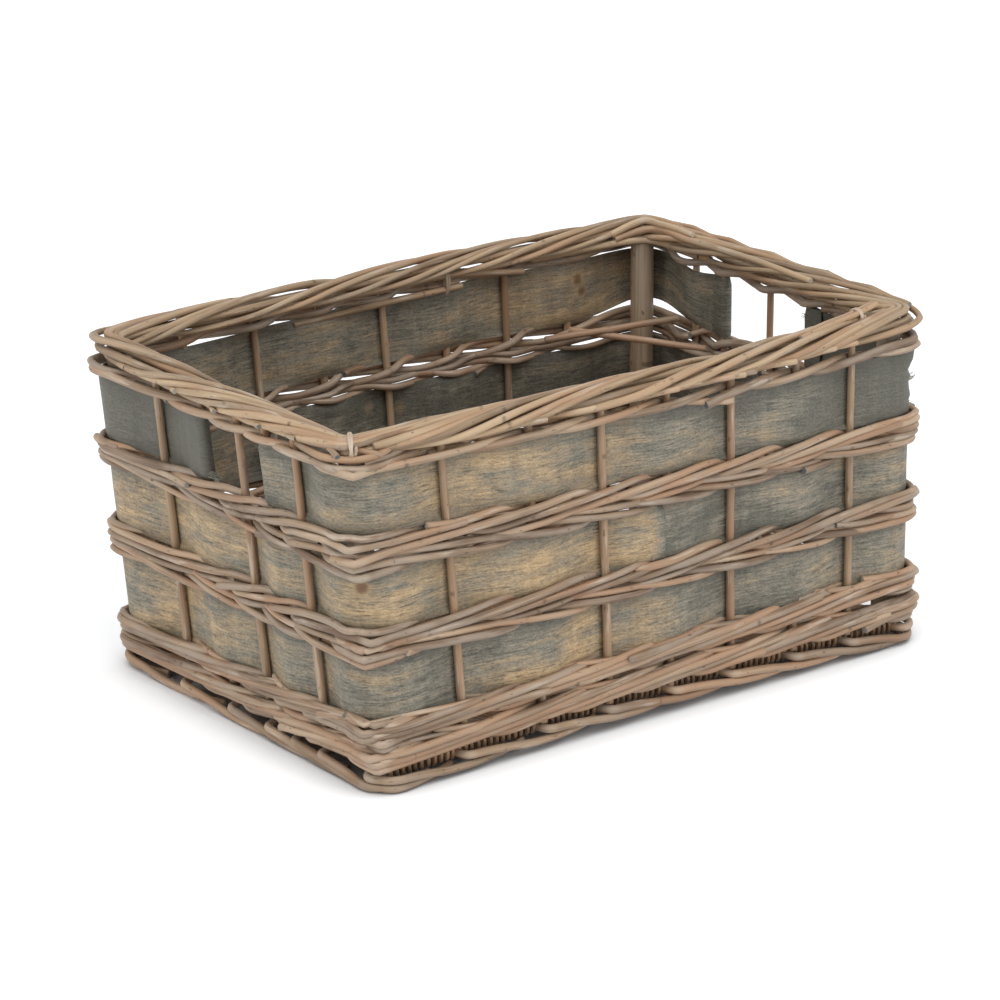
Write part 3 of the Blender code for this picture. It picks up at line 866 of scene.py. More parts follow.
def rods_on(bundle, strand, radius, lengths, ends_out):
    """Cut a strand into rods and add them to the bundle."""
    chance = bundle.chance
    start = chance.uniform(0, RING)
    covered = 0.0
    while covered < RING:
        length = min(chance.uniform(*lengths), RING - covered)
        if RING - covered - length < lengths[0] / 2:
            length = RING - covered
        lap_in, lap_out = chance.uniform(*LAP_IN), chance.uniform(*LAP_OUT)
        s0, s1 = start + covered - lap_in, start + covered + length + lap_out
        places = stations(s0, s1)
        butt_shift = end_shift(chance, radius, ends_out, BUTT_REACH)
        tip_shift = end_shift(chance, radius, ends_out, TIP_REACH)
        seed = chance.uniform(0, 90)
        bend = chance.choice((CHORD_BEND, POINT_BEND, POINT_BEND))
        turn = chance.uniform(-0.12, 0.12)
        points = []
        for s, (z, out) in zip(places, strand(places)):
            near_butt = (1 - ramp(s - s0, 0.0, END_BEND)) ** 2
            near_tip = (1 - ramp(s1 - s, 0.0, END_BEND)) ** 2
            z += near_butt * butt_shift[0] + near_tip * tip_shift[0]
            out += near_butt * butt_shift[1] + near_tip * tip_shift[1]
            z += noise.noise(Vector((s * 14, seed, 0))) * WOBBLE
            out += noise.noise(Vector((s * 14, seed, 5))) * WOBBLE * 0.7
            points.append(place(s, z, out + kinked(s, bend, turn)))
        thick = radius * chance.uniform(0.95, 1.12)
        bundle.add(points, thick, thick * chance.uniform(0.76, 0.9))
        covered += length


ROW_LENGTHS = (0.30, 0.52)


def add_row(bundle, node, pattern, radius, ends_out=0.3, falling=False, climb=1.0):
    """All the strands of one row of the frame."""
    members = frame_nodes(node + "_")
    low = min(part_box(name)[0].z for name in members)
    high = max(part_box(name)[1].z for name in members)
    for number in range(len(pattern) // 2):
        room = high - low - 2 * radius
        rise = room * climb
        marks = strand_marks(pattern, number, radius, low + (room - rise) / 2, rise, falling)
        rods_on(bundle, closed_strand(marks), radius, ROW_LENGTHS, ends_out)
    return members


FILLER_RADIUS = 0.0022
FILLER_RISE = 0.004
FILLER_LENGTHS = (0.5, 0.9)
FILLER_ENDS_OUT = 0.15


def add_filler(bundle, low, high):
    """Two long thin strands in the middle of a row, which close it where it would be open."""
    bottom = (low + high) / 2 - FILLER_RADIUS - FILLER_RISE / 2
    for number in range(2):
        marks = strand_marks(PAIR, number, FILLER_RADIUS, bottom, FILLER_RISE, number == 1)
        rods_on(bundle, closed_strand(marks), FILLER_RADIUS, FILLER_LENGTHS, FILLER_ENDS_OUT)


print(f"patterns of {len(PAIR)}, {len(TRIPLE)} and {len(QUAD)} marks")

# %% Bands between the strips
BAND_RADIUS = 0.0026
for band, seed in (("band_low", 21), ("band_high", 22)):
    band_rods = Bundle(seed)
    add_filler(band_rods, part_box(band + "_wale_1")[0].z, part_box(band + "_pair_1")[1].z)
    covered_nodes = add_row(band_rods, band + "_pair", PAIR, BAND_RADIUS, falling=True)
    covered_nodes += add_row(band_rods, band + "_wale", TRIPLE, BAND_RADIUS)
    seat(band_rods.grow(band, BROWN_WILLOW), "brown_willow", *covered_nodes)

# %% Base waling
BASE_ROWS = ("base_wale_low", "base_wale_high")
BASE_RADIUS = 0.0027
BASE_CLIMB = 1.3
BASE_FILLER_SHIFTS = (-0.003, 0.004)
base_rods = Bundle(23)
covered_nodes = []
for row in BASE_ROWS:
    covered_nodes += add_row(base_rods, row, QUAD, BASE_RADIUS, climb=BASE_CLIMB)
for row in BASE_ROWS:
    low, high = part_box(row + "_1")
    for shift in BASE_FILLER_SHIFTS:
        add_filler(base_rods, low.z + shift, high.z + shift)
seat(base_rods.grow("base_waling", BROWN_WILLOW), "brown_willow", *covered_nodes)

# %% Pair under the border
RIM_PAIR_RADIUS = 0.0027
rim_rods = Bundle(24)
covered_nodes = add_row(rim_rods, "rim_pair", PAIR, RIM_PAIR_RADIUS, ends_out=0.7, climb=0.45)
seat(rim_rods.grow("rim_pair", BROWN_WILLOW), "brown_willow", *covered_nodes)

# %% [markdown]
# Rolled border
#
# The tops of the stakes and extra rods are bent down and rolled round each other along the
# rim, like a rope laid on an oval. Each stroke comes up from below, runs slowly over the top
# to the inside, passes under and ends on the outside again, cut off at a slant. The next one
# starts a thumb's width further on. The strokes are spaced by length round the oval, so that
# neighbours just touch. At the corners they kink, which keeps the rim's corners sharp.

# %% Border strokes
BORDER_HIGH = max(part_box(name)[1].z for name in frame_nodes("rim_border_"))
STROKE_RADIUS = 0.0026
BORDER_INSET = 0.005
OVAL_OUT = 0.0115
OVAL_UP = 0.0066
OVAL_MIDDLE = BORDER_HIGH - OVAL_UP - STROKE_RADIUS
STROKE_LENGTH = 0.355
STROKE_START = math.radians(-110)
STROKE_END = math.radians(287)
# Wall, and the shares of its run at which the cut ends of its strokes lie
STROKE_ENDS = (
    ("near", (0.04, 0.12, 0.20, 0.283, 0.37, 0.45, 0.53, 0.575, 0.63, 0.675, 0.761, 0.84, 0.89)),
    ("right", (0.03, 0.20, 0.34, 0.48, 0.62, 0.76, 0.90)),
    ("far", (0.02, 0.12, 0.22, 0.31, 0.40, 0.49, 0.58, 0.67, 0.76, 0.86, 0.95)),
    ("left", (0.12, 0.25, 0.383, 0.47, 0.562, 0.66, 0.752, 0.878)),
)
PALE_ENDS = (0.12, 0.37, 0.53, 0.63, 0.761, 0.84)
# Ends that are pressed into the roll and hardly show
SUNK_ENDS = (0.12, 0.20, 0.25, 0.45, 0.47, 0.66)
SUNK_DEPTH = 0.0060
# The border is tied at the near left corner, and runs thinner towards the tie
TIE_PLACE = CORNER_MIDDLES[3] + 0.004
TIE_PINCH = 0.60
PINCH_MIDDLE = OVAL_MIDDLE + 0.005
PINCH_BEFORE = 0.150
PINCH_AFTER = 0.080
# Distance past the tie and angle at which two strokes begin, with round butts in full view
TIE_STROKES = ((0.005, math.radians(40)), (0.013, math.radians(-5)))
TIE_STROKE_LENGTH = 0.28
# Out and lift of two rods that run inside the roll and keep it from being hollow
CORE_RODS = ((0.0045, -0.001), (-0.0045, 0.001))
# A corner pushes a rod out in full past the second of these places, and not at all before the
# first, measured out from the wall's line
PUSHED_FROM = -0.016
PUSHED_IN_FULL = 0.010


def oval_angles(begin):
    """Angles round the oval at even steps of length, from an angle to the strokes' end."""
    fine = np.linspace(begin, STROKE_END, 400)
    path = np.stack([OVAL_OUT * np.cos(fine), OVAL_UP * np.sin(fine)], axis=1)
    length = np.concatenate(([0], np.cumsum(np.linalg.norm(np.diff(path, axis=0), axis=1))))
    return lambda share: np.interp(share * length[-1], length, fine)


def pinched(s):
    """How thick the border is at s, next to its full thickness."""
    before, after = (TIE_PLACE - s) % RING, (s - TIE_PLACE) % RING
    share = min(ramp(before, 0.0, PINCH_BEFORE), ramp(after, 0.0, PINCH_AFTER))
    return between(TIE_PINCH, 1.0, share * share * (3 - 2 * share))


def corner_push(s, out):
    """How far a rod of the border is pushed out by the pinch of a corner."""
    share = ramp(out, PUSHED_FROM, PUSHED_IN_FULL)
    return kinked(s, POINT_BEND, sharpness=BORDER_SHARPNESS) * share


def border_place(s, z, out):
    """A point of the border: out is measured from the roll's middle."""
    out = out * pinched(s) - BORDER_INSET
    return place(s, PINCH_MIDDLE + (z - PINCH_MIDDLE) * pinched(s), out + corner_push(s, out))


def add_stroke(bundle, start, length, begin=STROKE_START, tone=None, sunk=False):
    """One stroke of the border, from an angle of the oval to its cut end."""
    chance = bundle.chance
    angle_at = oval_angles(begin)
    seed = chance.uniform(0, 90)
    late = chance.uniform(-0.025, 0.025)
    thick = STROKE_RADIUS * chance.uniform(0.88, 1.12)
    end_out = OVAL_OUT + chance.uniform(0.0015, 0.0040) - sunk * SUNK_DEPTH
    end_z = OVAL_MIDDLE - chance.uniform(0.0020, 0.0045)
    points = []
    for s in stations(start, start + length):
        share = (s - start) / length
        angle = angle_at(min(1.0, max(0.0, share + late * math.sin(math.pi * share))))
        grow = 1.0 + 0.10 * noise.noise(Vector((s * 9, seed, 0)))
        poke = ramp(share, 0.91, 1.0) ** 1.4
        out = between(OVAL_OUT * grow * math.cos(angle), end_out, poke)
        z = between(OVAL_MIDDLE + OVAL_UP * grow * math.sin(angle), end_z, poke)
        points.append(border_place(s, z, out))
    bundle.add(points, thick, thick * 0.74, tone)


def make_border():
    bundle = Bundle(31)
    chance = bundle.chance
    for wall, shares in STROKE_ENDS:
        for share in shares:
            length = STROKE_LENGTH * chance.uniform(0.92, 1.1)
            pale = wall != "left" and share in PALE_ENDS
            tone = chance.uniform(0.85, 1.0) if pale else chance.uniform(0.1, 0.75)
            start = spot(wall, share) - length
            add_stroke(bundle, start, length, tone=tone, sunk=share in SUNK_ENDS)
    for late, begin in TIE_STROKES:
        add_stroke(bundle, TIE_PLACE + late, TIE_STROKE_LENGTH, begin, 0.8)
    for out, lift in CORE_RODS:
        points = [border_place(s, OVAL_MIDDLE + lift, out) for s in stations(0, RING - 0.008)]
        bundle.add(points, 0.0030, 0.0028)
    piece = bundle.grow("rim_border", BORDER_WILLOW, sides=10)
    return seat(piece, "border_willow", *frame_nodes("rim_border_"))


make_border()

# %% [markdown]
# Tie and loose ends
#
# No hand-made border is quite even. A split rod is tied round it at the near left corner, and
# another holds two ends that stick up at the right. A strand lies along the outside of the
# right end, kinked over each stake, and a few pale rods cut the far right corner. These are
# drawn one by one through a few marks, since nothing about them repeats.

# %% Marked rods
END_STEP = 0.003
END_TAPER = 0.85
TIE_RADIUS = 0.0011
TIE_TURNS = 2
TIE_LEAN = 0.0016
TIE_STEPS = 18


def marked_rod(bundle, marks, radius, tone):
    """A rod through marks of (wall, share, height, out)."""
    points = [place(spot(wall, share) % RING, z, out) for wall, share, z, out in marks]
    bundle.add(smooth_points(points, END_STEP), radius, radius * END_TAPER, tone)


def add_tie(bundle, at, middle, half_out, half_up, tone=0.65):
    """A thin split rod wound round the border at a place along the ring."""
    points = []
    for step in range(TIE_TURNS * TIE_STEPS + 5):
        angle = math.radians(step * 360 / TIE_STEPS - 60)
        turns_gone = step / TIE_STEPS - TIE_TURNS / 2
        # The turns lean against each other, so that they cross in front
        s = at + TIE_LEAN * math.sin(angle / 2 + 0.4) + turns_gone * TIE_RADIUS
        out = middle[0] + half_out * math.cos(angle)
        points.append(place(s, middle[1] + half_up * math.sin(angle), out + corner_push(s, out)))
    bundle.add(points, TIE_RADIUS, TIE_RADIUS * 0.9, tone)


# Each rod is a list of marks (wall, share of its run, height, out), a radius and a tone.
# Three rods fill the gap under the tied part, two of them with grey ends in sight.
UNDER_TIE = (
    ((("left", 0.86, 0.2235, -0.002), ("left", 0.93, 0.2250, 0.003),
      ("left", 1.03, 0.2262, 0.0055), ("near", -0.02, 0.2262, 0.0055),
      ("near", 0.025, 0.2280, 0.0035), ("near", 0.045, 0.2290, -0.002)), 0.0026, 0.5),
    ((("near", -0.05, 0.2312, -0.001), ("near", -0.005, 0.2300, 0.0035),
      ("near", 0.012, 0.2275, 0.0078)), 0.0022, 0.05),
    ((("left", 0.98, 0.2330, -0.001), ("left", 1.03, 0.2310, 0.0040),
      ("left", 1.045, 0.2288, 0.0085)), 0.0023, 0.05),
)
# Two ends that stick up near the right corner: out and extra height of each, and their shape
# as (share of the near wall's run, height over the border, extra out, part of the extra height)
UPRIGHT_ENDS = ((-0.0112, 0.0), (-0.0070, 0.0006))
UPRIGHT_SHAPE = ((0.80, -0.004, 0.004, 0), (0.87, -0.0012, 0.001, 0),
                 (0.925, 0.0006, 0.0, 1), (0.968, 0.0042, 0.0, 1))
# The pale rods over the top of the far right post
OVER_POST = (
    ((("far", 0.055, 0.2325, -0.0150), ("far", 0.020, 0.2375, -0.0165),
      ("right", 1.02, 0.2395, -0.0160), ("right", 0.93, 0.2405, -0.0140),
      ("right", 0.80, 0.2400, -0.0125)), 0.0027, 0.97),
    ((("far", 0.050, 0.2290, -0.0160), ("far", 0.012, 0.2325, -0.0180),
      ("right", 0.98, 0.2345, -0.0180), ("right", 0.80, 0.2365, -0.0160),
      ("right", 0.55, 0.2375, -0.0140), ("right", 0.30, 0.2360, -0.0130)), 0.0027, 0.85),
)
# Two ends wrapped together on the inside of the far side
WRAPPED_ENDS = (
    ((("far", 0.56, 0.2275, -0.0040), ("far", 0.46, 0.2270, -0.0075),
      ("far", 0.34, 0.2235, -0.0100), ("far", 0.2225, 0.2185, -0.0105)), 0.0027, 0.35),
    ((("far", 0.66, 0.2135, -0.0010), ("far", 0.56, 0.2150, -0.0050),
      ("far", 0.47, 0.2165, -0.0085), ("far", 0.345, 0.2175, -0.0110)), 0.0025, 0.5),
)
# The lowest rod that crosses in front of the far right post
BEFORE_POST = (
    (("far", 0.20, 0.2230, -0.0060), ("far", 0.10, 0.2250, -0.0125),
     ("far", 0.02, 0.2262, -0.0180), ("right", 0.99, 0.2262, -0.0180),
     ("right", 0.90, 0.2265, -0.0120), ("right", 0.80, 0.2270, -0.0060)), 0.0028, 0.7,
)
# Shares of the right end's run at which its outer strand is lifted over a stake
KNUCKLE_SHARES = (0.137, 0.314, 0.542, 0.721, 0.882)
KNUCKLE_LIFT = 0.0016


def add_upright_ends(bundle):
    """The two ends that stick up near the right corner."""
    for out, extra in UPRIGHT_ENDS:
        marks = [("near", share, BORDER_HIGH + up + extra * part, out + more)
                 for share, up, more, part in UPRIGHT_SHAPE]
        marked_rod(bundle, marks, 0.0023, 0.97)


def add_end_strand(bundle):
    """The strand along the outside of the right end, kinked over its stakes."""
    line = []
    for share in np.linspace(-0.02, 1.02, 79):
        bump = min(abs(share - at) for at in KNUCKLE_SHARES)
        lift = KNUCKLE_LIFT * (1 - ramp(bump, 0.0, 0.09))
        line.append(place(spot("right", share), BORDER_HIGH - 0.0040 + lift, 0.0036 + lift))
    bundle.add(line, 0.0024, 0.0022, 0.6)


def make_ends():
    bundle = Bundle(33)
    middle = between(PINCH_MIDDLE, OVAL_MIDDLE, TIE_PINCH)
    half_out, half_up = (size * TIE_PINCH + 0.0030 for size in (OVAL_OUT, OVAL_UP))
    add_tie(bundle, TIE_PLACE, (-BORDER_INSET, middle), half_out, half_up)
    for rod in UNDER_TIE:
        marked_rod(bundle, *rod)
    add_upright_ends(bundle)
    add_tie(bundle, spot("near", 0.93), (-0.0091, BORDER_HIGH - 0.0010), 0.0056, 0.0046)
    add_end_strand(bundle)
    for rod in OVER_POST + WRAPPED_ENDS:
        marked_rod(bundle, *rod)
    add_tie(bundle, spot("far", 0.375), (-0.0100, 0.2210), 0.0035, 0.0062, 0.3)
    marked_rod(bundle, *BEFORE_POST)
    return seat(bundle.grow("border_ends", BORDER_WILLOW, sides=10), "border_willow")


make_ends()


# Wall, share of its run and height of both ends
STRAIGHT_ROD = (("far", 0.135, 0.1712), ("right", 0.745, 0.1642))
CROSSING_ROD = (("far", 0.185, 0.1675), ("right", 0.860, 0.1800))
LOOSE_OUT = -0.0110


def make_loose_rods():
    """Rods of the upper band that cut the far right corner inside its post."""
    bundle = Bundle(34)
    for marks, tone in ((STRAIGHT_ROD, 0.97), (CROSSING_ROD, 0.5)):
        first, last = (place(spot(wall, share), z, LOOSE_OUT) for wall, share, z in marks)
        bundle.add(swayed([first.lerp(last, k / 30) for k in range(31)], 0.0008, tone * 9),
                   0.0026, 0.0023, tone)
    return seat(bundle.grow("loose_rods", BROWN_WILLOW, sides=10), "brown_willow")


make_loose_rods()

# %% [markdown]
# Foot border
#
# Under the waling, each foot rod comes out from under the mat, bends and runs to the right and
# down to the floor, under the start of the next one. So two rods lie on each other all along
# the wall. The bends show as a row of knuckles, and the lower rods carry the basket.

# %% Foot rods
FOOT_RADIUS = 0.0028
# Distance past the stake, height and out of a foot rod's marks, in millimetres
FOOT_MARKS_MM = (
    (-7.0, 9.6, -11.0), (-4.0, 9.5, -4.5), (-1.8, 9.3, 1.5), (0.2, 9.2, 4.4), (3.2, 9.1, 5.4),
    (12.0, 8.7, 5.7), (32.0, 6.6, 5.5), (52.0, 3.9, 5.2), (80.0, 2.9, 4.0), (102.0, 2.9, 0.0),
    (116.0, 3.2, -4.0),
)
FOOT_STEP = 0.0019
FOOT_SHARPNESS = 0.7


def foot_rod(bundle, begin):
    """One foot rod, whose knuckle lies at begin along the ring."""
    chance = bundle.chance
    marks = np.array(FOOT_MARKS_MM) * 0.001
    marks[:, 0] *= chance.uniform(0.94, 1.08)
    steps = np.linalg.norm(np.diff(marks, axis=0), axis=1)
    knots = np.concatenate(([0.0], np.cumsum(steps)))
    at = np.linspace(0, knots[-1], int(knots[-1] / FOOT_STEP))
    points = []
    for away, z, out in smooth(knots, marks, at):
        s = begin + away
        kink = kinked(s, CHORD_BEND) * FOOT_SHARPNESS
        points.append(place(s, max(z, FOOT_RADIUS + 0.0001), out + kink))
    bundle.add(points, FOOT_RADIUS * 1.05, FOOT_RADIUS * 0.88)


def make_foot():
    bundle = Bundle(41)
    for station in STAKE_S:
        foot_rod(bundle, station + bundle.chance.uniform(-0.004, 0.002))
    for middle in CORNER_MIDDLES:
        foot_rod(bundle, middle - ARC * 0.2)
    piece = bundle.grow("willow_foot", FOOT_WILLOW, sides=10)
    return seat(piece, "border_willow", "foot_border")


make_foot()

# %% [markdown]
# Woven base
#
# The base is a mat: thin weavers run to and fro across sticks that lie along the basket, each
# one over the sticks that the last one went under. Each weaver turns back round the outer
# stick, which gives the mat its ribbed edge, seen in the gaps above the foot border. One long
# line that zigzags across the sticks makes the whole mat.

# %% Base mat
MAT_LOW, MAT_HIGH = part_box("base_mat")
MAT_MIDDLE = (MAT_LOW.z + MAT_HIGH.z) / 2
STICK_NODES = frame_nodes("base_stick_")
STICK_RADIUS = (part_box(STICK_NODES[0])[1].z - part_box(STICK_NODES[0])[0].z) / 2
WEAVER_RADIUS = 0.00155
WEAVER_PITCH = 0.0025
EXTRA_STICKS = 1
MAT_INSET = 0.004
# The weaver is drawn as this many lines, so that its tone changes along the basket
MAT_LINES = 12
# Share of the way to the next stick and share of the rise at which a weaver is marked
WEAVE_STEPS = ((0.22, 0.72), (0.5, 0.0), (0.78, -0.72))
# Angle of each mark of a turn round the outer stick, and its share of the way to the next row
TURN_STEPS = ((65, 0.0), (30, 0.0), (0, 0.1), (-30, 0.3), (-65, 0.9))
EDGE_OUT = 0.0060
EDGE_UP = 0.0032
EDGE_DOWN = 0.0072


def stick_places():
    """Distance across the basket of the frame's sticks and of the ones between them."""
    centres = sorted((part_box(n)[0].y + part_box(n)[1].y) / 2 for n in STICK_NODES)
    found = []
    for first, second in zip(centres, centres[1:]):
        step = (second - first) / (EXTRA_STICKS + 1)
        found += [first + step * k for k in range(EXTRA_STICKS + 1)]
    return found + [centres[-1]]


def mat_place(x, y, z):
    """A point of the mat, moved by the slip of the rows on the long walls beside it."""
    along = RUN_X * ramp(x, MAT_LOW.x, MAT_HIGH.x)
    far_side = corner_at(1) + ARC + RUN_X - along
    lift = between(slip(along, z), slip(far_side, z), ramp(y, MAT_LOW.y, MAT_HIGH.y))
    return Vector((x, y, z + lift))


def make_mat():
    bundle = Bundle(51)
    chance = bundle.chance
    across = stick_places()
    reach = MAT_HIGH.z - MAT_MIDDLE - WEAVER_RADIUS + 0.0004
    columns = int((MAT_HIGH.x - MAT_LOW.x - 2 * MAT_INSET) / WEAVER_PITCH)
    share = columns // MAT_LINES + 1
    line = []
    for column in range(columns):
        x = MAT_LOW.x + MAT_INSET + (column + chance.uniform(-0.12, 0.12)) * WEAVER_PITCH
        order = across if column % 2 == 0 else across[::-1]
        step = 1 if column % 2 == 0 else -1
        for number, y in enumerate(order):
            side = 1 if number % 2 == 0 else -1
            line.append(mat_place(x, y, MAT_MIDDLE + side * reach))
            if number + 1 < len(order):
                following = order[number + 1]
                for part, height in WEAVE_STEPS:
                    z = MAT_MIDDLE + side * reach * height
                    line.append(mat_place(x, between(y, following, part), z))
        # The turn round the outer stick stands upright, from one face of the mat to the other
        out = EDGE_OUT * chance.uniform(0.9, 1.1)
        for angle, moved in TURN_STEPS:
            a = math.radians(angle)
            along = x + WEAVER_PITCH * moved
            rise = side * math.sin(a)
            z = MAT_MIDDLE + rise * (EDGE_UP if rise > 0 else EDGE_DOWN)
            line.append(mat_place(along, order[-1] + step * out * math.cos(a), z))
        if (column + 1) % share == 0 or column == columns - 1:
            bundle.add(line, WEAVER_RADIUS, WEAVER_RADIUS * 0.95)
            line = [line[-2], line[-1]]
    for y in across:
        ends = (MAT_LOW.x + 0.002, MAT_HIGH.x - 0.002)
        stick = [mat_place(between(*ends, k / 40), y, MAT_MIDDLE) for k in range(41)]
        bundle.add(stick, STICK_RADIUS, STICK_RADIUS * 0.95)
    print(f"base mat: {columns} weavers over {len(across)} sticks")
    piece = bundle.grow("woven_base", BASE_WILLOW, sides=7)
    return seat(piece, "base_willow", "base_mat", *STICK_NODES)


make_mat()

# %% [markdown]
# Wood strips
#
# The strips are chipwood: thin slices of timber, soaked and bent in and out of the stakes and
# round the corners. The grain runs along them. They are dyed a grey green that has faded in
# patches to the ochre of bare wood. A strip is built as a thin closed sheet along its own line,
# a little wider than it shows, so that its edges are tucked between the rods. The edges wander
# and the ends are torn, not sawn.

# %% Strip finish
STRIP_BLUE = (0.137, 0.131, 0.103)
STRIP_GREEN = (0.235, 0.212, 0.163)
STRIP_OLIVE = (0.345, 0.265, 0.170)
STRIP_OCHRE = (0.510, 0.360, 0.200)
STRIP_DARK = (0.060, 0.052, 0.040)
STRIP_STAIN_AND_SHADE = (0.085, 0.081, 0.065)
KNOT_RED = (0.15, 0.070, 0.032)


def chipwood():
    finish, tree, shader = new_finish("strip_wood")
    board = attribute(tree, "board", "Vector")
    warm = attribute(tree, "warm")
    cloud = tree.noise(board, (22, 48, 1), detail=5.0, roughness=0.55)
    bands = tree.noise(board, (16, 200, 1), detail=5.0, roughness=0.6)
    threads = tree.noise(board, (70, 760, 1), detail=3.0, roughness=0.65)
    specks = tree.noise(board, (520, 900, 1), detail=3.0, roughness=0.65)
    sheen = tree.noise(board, (170, 9, 1), detail=2.0)
    value = warm + (cloud - 0.5) * 1.8 + (bands - 0.5) * 0.8 + (threads - 0.5) * 0.8
    stops = [(0.0, STRIP_BLUE), (0.36, STRIP_GREEN), (0.66, STRIP_OLIVE), (1.0, STRIP_OCHRE)]
    colour = tree.add("ShaderNodeValToRGB", {"stops": stops}, {"Fac": value.clamped()})
    lines = (threads - 0.5) * 0.9 + (specks - 0.5) * 1.4 + (sheen - 0.5) * 0.4 + 0.5
    lines_colour = tree.add("ShaderNodeCombineXYZ", {}, {0: lines, 1: lines, 2: lines})
    colour = tree.mixed(0.8, colour, lines_colour, "SOFT_LIGHT")
    stains = tree.noise(board, (38, 75, 1), detail=5.0, roughness=0.65, distortion=0.4)
    colour = tree.mixed(stains.between(0.56, 0.72) * 0.5, colour, STRIP_STAIN_AND_SHADE)
    flecks = tree.noise(board, (90, 700, 1), detail=2.0).between(0.60, 0.72)
    colour = tree.mixed(flecks * 0.6, colour, STRIP_DARK)
    colour = tree.mixed((warm * -1.0).clamped(), colour, STRIP_STAIN_AND_SHADE)
    # Both edges of a strip are darkened: painted shade under the rods that hold it, partly dirt
    edge = attribute(tree, "edge").between(0.42, 0.95) * (cloud + 0.2).clamped()
    colour = tree.mixed(edge * 0.6, colour, STRIP_STAIN_AND_SHADE)
    knot = attribute(tree, "knot") + (bands - 0.5) * 0.35
    colour = tree.mixed(knot.between(0.35, 0.80) * 0.45, colour, STRIP_OCHRE)
    colour = tree.mixed(knot.between(0.62, 0.92) * 0.80, colour, KNOT_RED)
    feed(tree, shader, "Base Color", colour)
    feed(tree, shader, "Roughness", 0.55 + (threads - 0.5) * 0.3)
    height = threads * 0.6 + specks * 0.6 + sheen * 0.8 - flecks * 0.8
    feed(tree, shader, "Normal", bumped(tree, height, 0.35, 0.0007))
    shader.inputs["Specular IOR Level"].default_value = 0.40
    return finish


STRIP_WOOD = chipwood()
print("strip finish ready")

# %% Lines of the strips
STRIP_THICKNESS = 0.0012
STRIP_REACH = STAKE_RADIUS + STRIP_THICKNESS / 2 + 0.0003
# Share of the bend and reach in millimetres of a strip's wide curve round a corner
CORNER_CURVE = ((-0.134, 3.2), (0.185, 2.1), (0.5, 1.6), (0.815, 2.1), (1.134, 3.2))
STRIP_STEP = 0.0028
# How far a strip's folded tail is pressed out against the strip that it belongs to
TAIL_REACH = 0.0031
STAKE_NUMBERS = [int(name.split("_")[-1]) - 1 for name in STAKES]


def strip_line(first, last):
    """Marks (s, out) of a strip from one stake to another, anticlockwise."""
    marks = []
    lap = 0.0
    index = first
    while True:
        side = STRIP_REACH if STAKE_NUMBERS[index] % 2 else -STRIP_REACH
        marks.append((STAKE_S[index] + lap, side))
        if index == last and len(marks) > 1:
            return marks
        if index in LAST_STAKES:
            bend = corner_at(LAST_STAKES.index(index)) + lap
            marks += [(bend + ARC * share, out * 0.001) for share, out in CORNER_CURVE]
        index += 1
        if index == len(STAKE_S):
            index = 0
            lap = RING


def drawn(marks):
    """A smooth line through marks (s, out), as points."""
    marks = np.array(marks)
    count = int((marks[-1, 0] - marks[0, 0]) / STRIP_STEP)
    places = np.linspace(marks[0, 0], marks[-1, 0], count)
    return list(zip(places, smooth(marks[:, 0], marks[:, 1:], places)[:, 0]))


def hooked(s, forward, tail):
    """The end of a strip folded round a stake and back along the wall's inside."""
    bent = []
    for angle in range(15, 181, 15):
        a = math.radians(angle)
        bent.append((s + forward * STRIP_REACH * math.sin(a), STRIP_REACH * math.cos(a)))
    steps = int(tail / STRIP_STEP)
    for k in range(1, steps + 1):
        pressed = TAIL_REACH * ramp(k / steps, 0.2, 0.9)
        bent.append((s - forward * tail * k / steps, -STRIP_REACH + pressed))
    return bent


print("marks of a strip all round:", len(strip_line(0, 0)))

# %% Sheets of wood
STRIP_ROWS = 11
TUCK = 0.0035
MIDDLE_TUCK = 0.0055
BOTTOM_TUCK = 0.0080
TUCK_LEAN = 0.6
CRUMPLE = 0.0024
CRUMPLE_WIDTH = 0.010
# How far the crumpled part's top edge stands out, next to the depth of its creases
LIP_SHARE = 2.0
# The end of the far right bend, where a strip is crumpled if no other place is given
FAR_CRUMPLE = -RING / 2
TORN_LENGTH = 0.008
EDGE_WANDER = 0.0009
BELLY = 0.0006
BOARD_WIDTH = 0.044
# Wall, share of its run, half width and height of places where an edge is pulled back, so
# that light shows between it and the rods: at the bottom edge, then at the top edge
TOP_STRIP_GAPS = (
    (("far", -0.05, 0.040, 0.0085), ("far", 0.33, 0.030, 0.0022), ("far", 0.62, 0.020, 0.0020),
     ("right", 0.93, 0.030, 0.0010)),
    (("far", 0.14, 0.050, 0.0010), ("far", 0.45, 0.030, 0.0008), ("far", 0.78, 0.050, 0.0018),
     ("right", 0.84, 0.025, 0.0030), ("left", 0.20, 0.020, 0.0030)),
)


